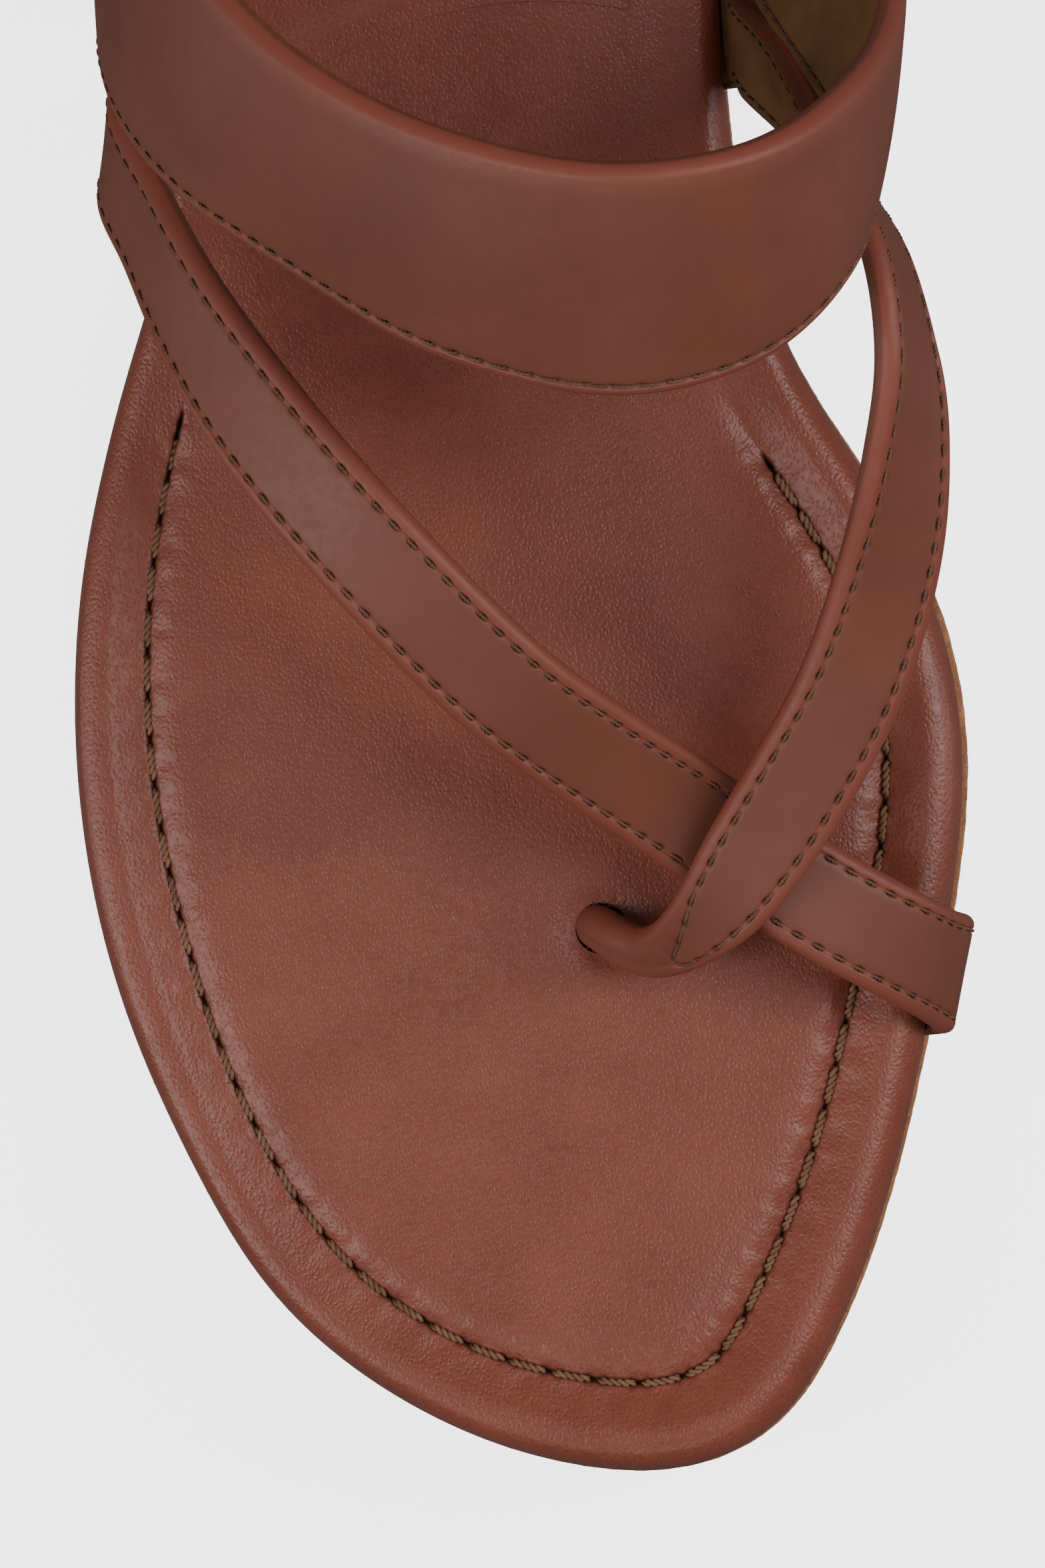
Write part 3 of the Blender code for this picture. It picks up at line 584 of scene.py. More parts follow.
def plain_paint(name, low, high, size, roughness, depth=0.1, metallic=0.0, painted_hole_shade=None):
    """Two-tone mottled material with a matching bump, with painted shade round the toe post's hole if
    asked.
    """
    paint = Paint(name, roughness)
    paint.shader.inputs["Metallic"].default_value = metallic
    blotches = paint.noise(size, 5.0, 0.65)
    colour = paint.mix(paint.span(blotches, 0.35, 0.65), low, high)
    grain = paint.noise(size / 5, 3.0, 0.6)
    if painted_hole_shade:
        centre = tuple(placed([*HOLE, 0.0]))
        away = paint.add("ShaderNodeVectorMath", {0: paint.place, 1: centre}, operation="SUBTRACT")
        flat = {"Vector": away.outputs["Vector"], "Scale": (1.0, 1.0, 0.0)}
        flat = paint.add("ShaderNodeMapping", flat).outputs["Vector"]
        reach = paint.add("ShaderNodeVectorMath", {0: flat}, operation="LENGTH").outputs["Value"]
        # Painted shade: darkens the material within a few millimetres of the toe post's hole.
        colour = paint.mix(paint.span(reach, 0.003, 0.005, 1.0, 0.0), colour, painted_hole_shade)
    normal = paint.bump(grain, 0.5, depth)
    gloss = paint.span(grain, 0.3, 0.7, roughness - 0.08, roughness + 0.08)
    return paint.finish(colour, normal, gloss)


# ---------------------------------------------------------------- footbed

def seam_run():
    """Distance along the seam at each point of the sole's edge: the lateral end is 0."""
    seam = inset_loop(RIM)
    half = len(seam) // 2
    order = np.concatenate([np.arange(half, len(seam)), np.arange(half)])
    run = run_length(seam[order])
    distance = np.empty(len(seam))
    distance[order] = run
    lateral = [i for i in order[:half] if seam[i, 1] < SEAM_SPAN[0]]
    medial = [i for i in order[half:] if seam[i, 1] < SEAM_SPAN[1]]
    start = distance[lateral[0]]
    return distance - start, distance[medial[-1]] - start


SEAM_S, SEAM_LENGTH = seam_run()
SEAM_COUNT = round(SEAM_LENGTH / SEAM_PITCH)
SEAM_STEP = SEAM_LENGTH / SEAM_COUNT


def cover_top(inset, plain, s, y):
    """Height of the footbed's leather at a distance from its edge, and the painted shade in its seam's
    slit and stitch holes.
    """
    d = inset - RIM
    grooved = 1 - smooth_step(*GROOVE_END, y)
    sewn = smooth_step(-2.6, -1.4, s) * (1 - smooth_step(SEAM_LENGTH + 1.4, SEAM_LENGTH + 2.6, s))
    width = 2.2 + 0.9 * LATERAL if d < 0 else 1.2
    phase = (s / SEAM_STEP) % 1.0
    hole = (SEAM_STEP - SEAM_STITCH) / 2 / SEAM_STEP
    at_hole = bell((np.minimum(phase, 1 - phase) - hole) * SEAM_STEP, 0.42)
    pull = np.cos(2 * math.pi * phase)
    depth = GROOVE_DEPTH * (1 - LATERAL_SHALLOW * LATERAL)
    height = plain - grooved * depth * bell(d, width)
    height -= sewn * (SLIT_DEPTH * bell(d, 0.17) + 0.35 * at_hole * bell(d, 0.4))
    height += sewn * pull * (0.06 * bell(d - 1.15, 0.75) + 0.05 * bell(d + 1.2, 0.8))
    waves = ((1.05, 0.016), (1.6, 0.024), (2.7, 0.03))
    near = bell(np.abs(d) - 1.5, 1.3) * (0.75 if d > 0 else 0.4)
    height += grooved * near * ripples(s, d, SEED, waves)
    # Painted shade in the groove's slit and at the stitch holes.
    painted_shade = sewn * np.clip(bell(d, 0.2) + 0.8 * at_hole * bell(d, 0.45), 0.0, 1.0)
    return height, painted_shade


def panel_waves(x, y):
    """Slow unevenness of the footbed's middle."""
    wave = 0.10 * np.sin(x / 9.0 + y / 23.0) + 0.08 * np.sin(y / 11.0 - x / 17.0 + 1.0)
    ridge = 0.10 * bell(x + 4.0 + (y - 14.0) * 0.12, 1.6) * bell(y - 13.0, 7.0)
    post = np.hypot(x - HOLE[0], y - HOLE[1])
    return wave + ridge - 0.35 * bell(post - HOLE_RADIUS, 1.3)


def cover_profile():
    """Insets and heights of the cover's rings, from its tucked edge to the centre panel."""
    top = smooth_path(COVER_TOP, 400, axes=2)
    crest = np.argmax(top[:, 0] > 5.0)
    side = top[np.linspace(0, crest, 28).astype(int)]
    flat = np.sort(np.concatenate([PANEL_INSETS, RIM + np.array(SEAM_RINGS)]))
    heights = np.interp(flat, top[crest:, 0], top[crest:, 1])
    return np.concatenate([side[:, 0], flat]), np.concatenate([side[:, 1], heights])


def cover_rings():
    """Rings of points over the cover's rim and groove, and the painted shade in the seam at each."""
    rings, painted_shades = [], []
    for inset, height in zip(*cover_profile()):
        loop = inset_loop(inset - LATERAL_RIDGE * LATERAL * bell(inset - 1.9, 1.5))
        z, painted_shade = height, np.zeros(len(loop))
        if inset > 4.0 and height > 9.0:
            z, painted_shade = cover_top(inset, height, SEAM_S, loop[:, 1])
        rings.append(np.column_stack([loop, z + sole_rise(loop[:, 1])]))
        painted_shades.append(painted_shade)
    return rings, painted_shades


def centre_panel(ring):
    """Rows of points across the footbed between the two sides of a ring."""
    half = len(ring) // 2
    share = np.linspace(0, 1, PANEL_COLUMNS + 1)[1:-1]
    left, right = ring[1:half], ring[:half:-1]
    panel = left[:, None] * (1 - share[:, None]) + right[:, None] * share[:, None]
    window = np.sin(math.pi * share) ** 0.5
    panel[..., 2] += panel_waves(panel[..., 0], panel[..., 1]) * window
    return panel


def under_rings():
    """Rings of points on the cover's underside; the seam's dip fades out towards the waist."""
    rings = []
    for inset, height in COVER_UNDER[::-1][1:]:
        loop = inset_loop(inset)
        flat_height = min(height + 0.9, 9.8) if inset == RIM else height
        fade = smooth_step(*GROOVE_END, loop[:, 1])
        z = height * (1 - fade) + flat_height * fade
        rings.append(np.column_stack([loop, z + sole_rise(loop[:, 1])]))
    return rings


def footbed_cover(material, slots):
    """Padded leather cover with its rolled rim, sewn groove and centre panel, one closed shell."""
    rings, painted_shades = cover_rings()
    panel = centre_panel(rings[-1])
    under = under_rings()
    points = np.vstack(rings + [panel.reshape(-1, 3)] + under)
    marks = np.zeros(len(points))
    marks[:len(rings) * len(EDGE)] = np.concatenate(painted_shades)
    count = len(EDGE)
    base = len(rings) * count
    inner = base + panel.shape[0] * panel.shape[1]
    faces = wrap_faces(len(rings), count)
    faces += panel_faces(base - count, base, count // 2, count, panel.shape[1])
    for level in range(len(under)):
        low = inner + (level - 1) * count if level else 0
        high = inner + level * count
        for i in range(count):
            j = (i + 1) % count
            faces.append((low + j, low + i, high + i, high + j))
    faces += rung_faces(inner + (len(under) - 1) * count, count)
    cover = closed_object("footbed_padded_cover", points, faces, material, {"painted_shade": marks})
    cut(cover, slots)
    cover.data.shade_smooth()
    cover.data.set_sharp_from_angle(angle=math.radians(50))
    return cover


def panel_faces(ring, base, half, count, columns):
    """Faces of the centre panel, rung by rung between the two sides of the last ring."""
    def at(row, column):
        if column < 0:
            return ring + row + 1
        if column >= columns:
            return ring + count - row - 1
        return base + row * columns + column
    rows = half - 1
    faces = []
    for row in range(rows - 1):
        for column in range(-1, columns):
            near = (at(row, column), at(row, column + 1))
            faces.append((*near, at(row + 1, column + 1), at(row + 1, column)))
    for row, tip in ((0, ring), (rows - 1, ring + half)):
        for column in range(-1, columns):
            faces.append((tip, at(row, column), at(row, column + 1)))
    return faces


# ---------------------------------------------------------------- stitches

def twisted_stitches(name, spots, normals, radius, material, turns=1.6, dive=3.0):
    """Two-ply stitches. For each stitch: points along it, in the surface, and the normals there."""
    steps, sides = spots.shape[1], 7
    t = np.linspace(0, 1, steps)
    arch = radius * (0.75 - dive * (2 * np.abs(t - 0.5)) ** 6)
    line = spots + normals * arch[None, :, None]
    along = unit(np.gradient(line, axis=1))
    side = unit(np.cross(along, normals))
    up = np.cross(side, along)
    angle = 2 * math.pi * np.arange(sides) / sides
    points, faces = [], []
    total = 0
    ply = radius * 0.56
    for strand in (0, 1):
        twist = (2 * math.pi * turns * t + math.pi * strand)[None, :, None]
        centre = line + (up * np.cos(twist) + side * np.sin(twist)) * radius * 0.46
        ring = (
            up[:, :, None] * np.cos(angle)[None, None, :, None]
            + side[:, :, None] * np.sin(angle)[None, None, :, None]
        )
        body = (centre[:, :, None] + ring * ply).reshape(-1, 3)
        points.append(body)
        for k in range(len(spots)):
            first = total + k * steps * sides
            faces += [tuple(first + i for i in face) for face in wrap_faces(steps, sides)]
            faces.append(tuple(first + i for i in range(sides)))
            faces.append(tuple(first + (steps - 1) * sides + i for i in reversed(range(sides))))
        total += len(body)
    return closed_object(name, np.vstack(points), faces, material)


def stitch_spots(path, normals, pitch, length, steps=15, jitter=0.05, seed=1):
    """Points and normals for evenly spaced stitches along a path."""
    run = run_length(path)
    count = max(1, round(run[-1] / pitch))
    rng = np.random.default_rng(seed)
    middle = (np.arange(count) + 0.5) * run[-1] / count + rng.normal(0, jitter, count)
    at = middle[:, None] + np.linspace(-0.5, 0.5, steps)[None, :] * length
    at = np.clip(at, 0, run[-1])
    def read(values):
        return np.stack([np.interp(at, run, values[:, k]) for k in range(3)], axis=-1)
    return read(path), unit(read(normals))


def footbed_stitching(material):
    """Heavy stitches that hold the cover down along the groove."""
    seam = inset_loop(RIM)
    half = len(seam) // 2
    order = np.concatenate([np.arange(half, len(seam)), np.arange(half)])
    order = [i for i in order if -0.2 <= SEAM_S[i] <= SEAM_LENGTH + 0.2]
    path = np.column_stack([seam[order], sole_rise(seam[order][:, 1]) + 10.0])
    normals = np.tile([0.0, 0.0, 1.0], (len(path), 1))
    spots, ups = stitch_spots(path, normals, SEAM_PITCH, SEAM_STITCH + 0.5, 25, 0.06)
    return twisted_stitches("footbed_seam_stitches", spots, ups, SEAM_THREAD, material, turns=2.3)


# ---------------------------------------------------------------- straps

def strap_end(edge_x, y, side, radius, slack):
    """Points from a strap's side of the footbed down into the joint above the outsole."""
    base = sole_rise(y) + TUCK_HEIGHT
    out = edge_x + side * slack
    turn = radius * math.sqrt(0.5)
    return [
        (out, y, base + radius),
        (out - side * (radius - turn), y, base + radius - turn),
        (out - side * radius, y, base),
        (out - side * (radius + TUCK_DEPTH), y, base),
    ]


def eased(path, reach=9):
    """Path with its bends evened out, but not at its tightly turned ends."""
    run = run_length(path[:, :3])
    from_end = np.minimum(run, run[-1] - run)
    share = smooth_step(TUCK_REACH, TUCK_REACH + 12.0, from_end)[:, None]
    return path * (1 - share) + softened(path, reach) * share


def station_rows(stations, count):
    """Rails of a strap and its half thickness, from stations."""
    rows = []
    for station in stations:
        x, y, z, width, heading, lift = station[:6]
        half_thick = station[6] if len(station) > 6 else HALF_THICK
        heading, lift = math.radians(heading), math.radians(lift)
        across = (
            math.cos(heading) * math.cos(lift), math.sin(heading) * math.cos(lift), math.sin(lift),
        )
        rows.append((x, y, z, width, *across, half_thick))
    path = eased(smooth_path(rows, count))
    along = unit(np.gradient(path[:, :3], axis=0))
    across = path[:, 4:7]
    across = unit(across - along * np.sum(across * along, axis=1, keepdims=True))
    half = across * path[:, 3:4] / 2
    return path[:, :3] - half, path[:, :3] + half, path[:, 7]


def toe_strap_rows():
    """Rails of the toe strap, from the outer waist across the toes to the big toe's side."""
    lateral = strap_end(-32.9, 136.2, -1, 2.2, 1.6)
    medial = strap_end(31.2, 45.0, 1, 2.6, 3.0)
    start = [(*point, 10.6, 84, sole_slope(136.2)) for point in reversed(lateral)]
    end = [(*point, 11.8, 74, sole_slope(45.0)) for point in medial]
    return station_rows(start + list(TOE_STRAP) + end, 620)


def thong_strap_rows():
    """Rails of the thong strap, from inside the toe post's hole back to the inner waist."""
    medial = strap_end(19.6, 137.2, 1, 2.2, 1.6)
    end = [(*point, 10.4, 90, sole_slope(137.2), HALF_THICK) for point in medial]
    return station_rows(list(THONG_STRAP) + end, 560)


def band_rows():
    """Rails of the instep band, over the foot from the outer side to the inner."""
    front = list(reversed(strap_end(-32.8, 144.2, -1, 2.2, 1.6)))
    front += list(BAND_FRONT) + strap_end(20.3, 143.8, 1, 2.2, 1.6)
    rear = list(reversed(strap_end(-33.0, 168.0, -1, 2.2, 1.6)))
    rear += list(BAND_REAR) + strap_end(22.2, 170.0, 1, 2.2, 1.6)
    front = eased(smooth_path(front, 660), 14)
    rear = eased(smooth_path(rear, 660), 14)
    return front, rear, np.full(len(front), HALF_THICK)


def strap_points(rows, inset, height, camber=0.0, from_rear=False):
    """Points at a distance in from one edge of a strap and off its middle, with their normals."""
    front, rear, _ = rows
    width = np.linalg.norm(rear - front, axis=1)
    inset = width - inset if from_rear else inset
    share = (inset / width)[:, None]
    spot = front * (1 - share) + rear * share
    along = unit(np.gradient(spot, axis=0))
    normal = unit(np.cross(along, unit(rear - front)))
    run = run_length((front + rear) / 2)
    from_end = np.minimum(run, run[-1] - run)
    swell = camber * smooth_step(TUCK_REACH, TUCK_REACH + 16.0, from_end)
    lift = height + swell * 4 * share[:, 0] * (1 - share[:, 0])
    return spot + normal * lift[:, None], normal


def tip_share(run, tip):
    """0 where the strap is still a round post, 1 where it lies flat."""
    return smooth_step(TIP_START - 5.0, TIP_START + 2.0, run) if tip else np.ones(len(run))


def seam_lines(rows, tip=False):
    """Distance of the stitching in from the front and the rear edge; at a tip the rows meet."""
    front, rear, _ = rows
    half = np.linalg.norm(rear - front, axis=1) / 2
    if not tip:
        return np.full(len(half), STITCH_INSET), np.full(len(half), STITCH_INSET), half, half
    run = run_length((front + rear) / 2)
    end = TIP_START + TIP_LENGTH
    spread = np.sqrt(1 - np.clip((end - run) / TIP_LENGTH, 0, 1) ** 2) * (half - STITCH_INSET)
    lean = TIP_LEAN * smooth_step(TIP_START - 6.0, TIP_START, run)
    lean = lean * (1 - smooth_step(TIP_START, end, run))
    return half - lean - spread, half + lean - spread, half - lean, half + lean


def stitch_holes(rows, inset, camber, from_rear, span):
    """How near each row of a strap is to a stitch hole, and whether it is sewn there."""
    front, rear, _ = rows
    run = run_length((front + rear) / 2)
    path, _ = strap_points(rows, inset, STRAP_MIDDLE, camber, from_rear)
    along = run_length(path)
    kept = np.flatnonzero((run >= span[0]) & (run <= span[1]))
    start, length = along[kept[0]], along[kept[-1]] - along[kept[0]]
    step = length / max(1, round(length / STITCH_PITCH))
    phase = ((along - start) / step) % 1.0
    sewn = ((along >= start - 0.05) & (along <= start + length + 0.05)).astype(float)
    return bell(np.minimum(phase, 1 - phase) * step, 0.3) * sewn, sewn


def rounded_edge(rounding, half_thick):
    """Columns up round a strap's edge: (inset, height, painted shade, edge mark)."""
    made = []
    for angle in EDGE_ANGLES:
        height = STRAP_MIDDLE + half_thick * math.sin(angle)
        # The edge mark is highest at the side: painted sheen.
        made.append((rounding * (1 - math.cos(angle)), height, 0.0, 1 - angle / 2.2))
    return made


def plain_edge(rounding, half_thick):
    """Columns of an edge that is turned in and glued: a faint swell shows where the fold ends."""
    made = rounded_edge(rounding, half_thick)
    for inset in (1.3, 1.7, 2.1, 2.5, 2.9, 3.3, 3.7, 4.1, 4.6, 5.2):
        swell = FOLD_HEIGHT * smooth_step(1.0, 1.9, inset) * (1 - smooth_step(1.9, FOLD_WIDTH, inset))
        # A faint painted sheen beside the fold, fading inwards.
        made.append((inset, STRAP_MIDDLE + half_thick + swell, 0.0, max(0.4 - 0.14 * inset, 0.0)))
    return made


def edge_columns(seam, middle, holes, flatness, rounding, half_thick):
    """Columns of a strap's face from one edge inwards, with the channel that its stitches lie in."""
    hole, sewn = holes
    made = rounded_edge(rounding, half_thick)
    spread = middle - seam
    offsets = (-0.34, -0.24, -0.16, -0.08, 0.0, 0.08, 0.16, 0.24, 0.34, 0.5, 0.9, 1.5, 2.4)
    for k, offset in enumerate(offsets):
        inner = 0.003 * (len(offsets) - k + 1)
        inset = middle - np.maximum(spread - offset, inner)
        inset = np.maximum(inset, rounding + 0.004 * (k + 1))
        away = inset - seam
        groove = sewn * (0.16 * bell(away, 0.3) + 0.34 * hole * bell(away, 0.24))
        height = STRAP_MIDDLE + half_thick + flatness * (0.07 * bell(away + 0.5, 0.3) - groove)
        # Painted shade at the stitch holes.
        painted_shade = flatness * hole * bell(away, 0.26)
        # The edge mark is a painted sheen that fades away from the edge.
        made.append((inset, height, painted_shade, np.clip(1.25 - inset / 1.6, 0, 0.6)))
    return made


def strap_body(name, rows, material, camber=0.0, span=None, tip=False, plain_rear=False):
    """Strap of turned leather: rounded edges, a sewn channel near each, a recess underneath."""
    front, rear, half_thick = rows
    width = np.linalg.norm(rear - front, axis=1)
    run = run_length((front + rear) / 2)
    flatness = tip_share(run, tip)
    rounding = EDGE_ROUND * flatness + half_thick * 0.98 * (1 - flatness)
    seam_front, seam_rear, middle_front, middle_rear = seam_lines(rows, tip)
    holes = stitch_holes(rows, seam_front, camber, False, span)
    face = edge_columns(seam_front, middle_front, holes, flatness, rounding, half_thick)
    if plain_rear:
        rear_face = plain_edge(rounding, half_thick)
    else:
        holes = stitch_holes(rows, seam_rear, camber, True, span)
        rear_face = edge_columns(seam_rear, middle_rear, holes, flatness, rounding, half_thick)
    columns = [(False, *column) for column in face]
    if width.max() > WIDE:
        between = width - face[-1][0] - rear_face[-1][0]
        for share in np.linspace(0, 1, 16)[1:-1]:
            columns.append((False, face[-1][0] + between * share, STRAP_MIDDLE + half_thick, 0.0, 0.0))
    columns += [(True, *column) for column in rear_face[::-1]]
    under = []
    lower = LOWER_ROUND * flatness + half_thick * 0.98 * (1 - flatness)
    for angle in EDGE_ANGLES[1:]:
        height = STRAP_MIDDLE - half_thick * math.sin(angle)
        under.append((lower * (1 - math.cos(angle)), height, 0.0, 0.0))
    reach = np.maximum(width / 2 - lower, 0.02)
    recess = STRAP_MIDDLE - half_thick + RECESS * flatness
    under.append((lower + np.minimum(0.02, 0.01 * reach), recess, 0.0, 0.0))
    under.append((lower + 0.3 * reach, recess, 0.0, 0.0))
    columns += [(True, *column) for column in under]
    columns += [(False, *column) for column in under[::-1]]
    return swept_solid(name, rows, columns, camber, material)


def swept_solid(name, rows, columns, camber, material):
    """Closed body from columns that run the length of a strap, shut at its two ends."""
    length = len(rows[0])
    grid = []
    for from_rear, inset, height, _, _ in columns:
        spot, _ = strap_points(rows, inset + np.zeros(length), height, camber, from_rear)
        grid.append(spot)
    grid = np.stack(grid, axis=1)
    faces = wrap_faces(*grid.shape[:2])
    count = grid.shape[1]
    faces.append(tuple(range(count)))
    faces.append(tuple((length - 1) * count + i for i in reversed(range(count))))
    painted_shades = np.stack([column[3] + np.zeros(length) for column in columns], axis=1)
    edges = np.stack([column[4] + np.zeros(length) for column in columns], axis=1)
    marks = {"painted_shade": np.clip(painted_shades, 0, 1), "edge": np.clip(edges, 0, 1)}
    return closed_object(name, grid.reshape(-1, 3), faces, material, marks, 55)


def rows_beyond(rows, start):
    """The part of a strap that lies beyond a distance along it."""
    run = run_length((rows[0] + rows[1]) / 2)
    return tuple(part[run >= start] for part in rows)


def strap_lining(name, rows, material, camber, span, start=0.0, plain_rear=False):
    """Thin lining glued in the recess under a strap, dimpled by the stitches."""
    rows = rows_beyond(rows, start)
    half_thick = rows[2]
    span = (max(span[0] - start, 0.0), span[1] - start)
    top = STRAP_MIDDLE - half_thick + RECESS - 0.05
    low = STRAP_MIDDLE - half_thick - 0.04
    columns = []
    for from_rear in (False, True):
        seam = np.full(len(half_thick), STITCH_INSET)
        hole, sewn = stitch_holes(rows, seam, camber, from_rear, span)
        if from_rear and plain_rear:
            hole, sewn = 0 * hole, 0 * sewn
        side = []
        for k, inset in enumerate(LINING_COLUMNS):
            near = bell(inset - STITCH_INSET, 0.2)
            height = low + (0.12 * sewn + 0.25 * hole) * near + (0.12 if k == 0 else 0.0)
            # The fourth value is painted shade at the stitch dimples.
            side.append((from_rear, inset, height, hole * near, 0.0))
        columns += side[::-1] if from_rear else side
    columns += [(True, LINING_COLUMNS[0], top, 0.0, 0.0), (False, LINING_COLUMNS[0], top, 0.0, 0.0)]
    return swept_solid(name, rows, columns, camber, material)


def strap_stitches(name, rows, material, camber, span, from_rear, seed=1, tip=False):
    """Stitches of one row, on the face and on the lining."""
    front, rear, half_thick = rows
    run = run_length((front + rear) / 2)
    keep = (run >= span[0]) & (run <= span[1])
    lined = keep & (run > TIP_START + TIP_LENGTH) if tip else keep
    inset = seam_lines(rows, tip)[1 if from_rear else 0]
    top, up = strap_points(rows, inset, STRAP_MIDDLE + half_thick - 0.17, camber, from_rear)
    low, down = strap_points(rows, inset, STRAP_MIDDLE - half_thick + 0.06, camber, from_rear)
    length = STITCH_LENGTH + 0.3
    spots, ups = stitch_spots(top[keep], up[keep], STITCH_PITCH, length, 13, 0.04, seed)
    under, downs = stitch_spots(low[lined], -down[lined], STITCH_PITCH, length, 13, 0.04, seed)
    spots, ups = np.concatenate([spots, under]), np.concatenate([ups, downs])
    return twisted_stitches(name, spots, ups, STRAP_THREAD, material, turns=1.9)


def slot_cutter(name, rows, end, margin=0.35):
    """Room in the footbed for the tucked end of a strap."""
    front, rear, half_thick = rows
    run = run_length((front + rear) / 2)
    keep = np.abs(run - run[end]) < TUCK_REACH + 3.0
    front, rear = front[keep][::6], rear[keep][::6]
    over = unit(rear - front) * margin
    front, rear = front - over, rear + over
    front = np.vstack([2 * front[0] - front[1], front, 2 * front[-1] - front[-2]])
    rear = np.vstack([2 * rear[0] - rear[1], rear, 2 * rear[-1] - rear[-2]])
    along = unit(np.gradient((front + rear) / 2, axis=0))
    normal = unit(np.cross(along, unit(rear - front)))
    above, below = normal * (HALF_THICK + margin + 0.1), normal * (HALF_THICK + margin)
    grid = np.stack([front + above, rear + above, rear - below, front - below], axis=1)
    faces = wrap_faces(len(grid), 4)
    faces += [(3, 2, 1, 0), tuple((len(grid) - 1) * 4 + i for i in range(4))]
    mesh = mesh_of(name, grid.reshape(-1, 3), faces)
    outward(mesh)
    thing = bpy.data.objects.new(name, mesh)
    bpy.context.scene.collection.objects.link(thing)
    return thing


def hole_cutter():
    """Round hole for the toe post, a little larger than the post."""
    work = bmesh.new()
    bmesh.ops.create_cone(
        work, cap_ends=True, segments=72, radius1=HOLE_RADIUS * MM, radius2=HOLE_RADIUS * MM, depth=0.012,
    )
    bmesh.ops.translate(work, verts=work.verts, vec=tuple(placed([*HOLE, 11.0])))
    mesh = bpy.data.meshes.new("post_hole")
    work.to_mesh(mesh)
    work.free()
    thing = bpy.data.objects.new("post_hole", mesh)
    bpy.context.scene.collection.objects.link(thing)
    return thing


# ---------------------------------------------------------------- sole and heel

def outsole(material):
    """Leather outsole with a cut, slightly uneven edge."""
    rings = []
    waves = ((2.3, 0.5), (0.9, 0.3), (6.1, 0.6))
    for k, (inset, height) in enumerate(SOLE_PROFILE):
        loop = inset_loop(inset, on_footbed=False)
        rough = 0.035 * ripples(np.arange(len(loop)) * 0.4, k * 1.7, SEED + k, waves)
        side = EDGE_INWARD * (rough if 0 < k < 8 else 0 * rough)[:, None]
        rings.append(np.column_stack([loop + side, sole_rise(loop[:, 1]) + height]))
    return loop_solid("outsole_leather", rings, material)


def heel_outline(inset):
    """Heel part of the sole's edge, closed by a slightly hollow breast."""
    loop = inset_loop(inset, on_footbed=False)
    rows = np.flatnonzero(loop[:, 1] > HEEL_BREAST + inset * 0.8)
    part = loop[rows[0]:rows[-1] + 1:2]
    share = np.linspace(0, 1, 40)[1:-1, None]
    breast = part[-1] * (1 - share) + part[0] * share
    breast[:, 1] += 1.2 * (1 - (2 * share[:, 0] - 1) ** 2)
    return smooth_outline(np.vstack([part, breast]))


def smooth_outline(points):
    """Closed outline with evenly spaced points and eased corners."""
    closed = np.vstack([points, points[:1]])
    run = run_length(closed)
    even = np.linspace(0, run[-1], 361)[:-1]
    even_points = np.stack([np.interp(even, run, closed[:, k]) for k in range(2)], axis=1)
    return softened(even_points, 2, closed=True)


def heel_layer(name, low, high, material):
    """One layer of the stacked heel, with eased edges."""
    levels = [(inset, low + rise) for inset, rise in LIFT_FOOT]
    levels += [(inset, high + rise) for inset, rise in LIFT_HEAD]
    rings = []
    for inset, height in levels:
        outline = heel_outline(inset)
        rings.append(np.column_stack([outline, np.full(len(outline), height)]))
    count = len(rings[0])
    faces = wrap_faces(len(rings), count)
    centre = [*rings[0][:, :2].mean(axis=0)]
    points = np.vstack(rings + [[[*centre, low]], [[*centre, high]]])
    top = (len(rings) - 1) * count
    for i in range(count):
        j = (i + 1) % count
        faces.append((j, i, len(points) - 2))
        faces.append((top + i, top + j, len(points) - 1))
    return closed_object(name, points, faces, material, None, 50)


def sock_line(a, b, share):
    """Points across the sock between its two sides, and how thick it is at each."""
    ahead = (a[1] + b[1]) / 2 - SOCK_FRONT
    t = np.clip(ahead, 0, SOCK_CORNER)
    pull = SOCK_CORNER - math.sqrt(SOCK_CORNER**2 - (SOCK_CORNER - t) ** 2)
    over = unit(b - a)
    a, b = a + over * pull, b - over * pull
    line = a[None] * (1 - share[:, None]) + b[None] * share[:, None]
    line[:, 1] += 4.0 * (1 - (2 * share - 1) ** 2) * (1 - smooth_step(0, 25, ahead))
    from_side = np.minimum(share, 1 - share) * np.linalg.norm(b - a)
    rim = np.clip(np.minimum(from_side, max(ahead, 0.0)) / 0.9, 0, 1)
    z = [cover_height(x, y) + 0.12 for x, y in line]
    return np.column_stack([line, z]), 0.18 + 0.6 * np.sqrt(1 - (1 - rim) ** 2)


def slab_faces(rows, columns):
    """Faces of two grids of points, one above the other, and of the side between them."""
    faces = []
    body = rows * columns
    for r in range(rows - 1):
        for c in range(columns - 1):
            a = r * columns + c
            faces.append((a, a + 1, a + columns + 1, a + columns))
            faces.append((body + a + columns, body + a + columns + 1, body + a + 1, body + a))
    rim = [(0, c) for c in range(columns)] + [(r, columns - 1) for r in range(1, rows)]
    rim += [(rows - 1, c) for c in range(columns - 2, -1, -1)] + [(r, 0) for r in range(rows - 2, 0, -1)]
    for here, there in zip(rim, rim[1:] + rim[:1]):
        a = here[0] * columns + here[1]
        b = there[0] * columns + there[1]
        faces.append((a, b, body + b, body + a))
    return faces


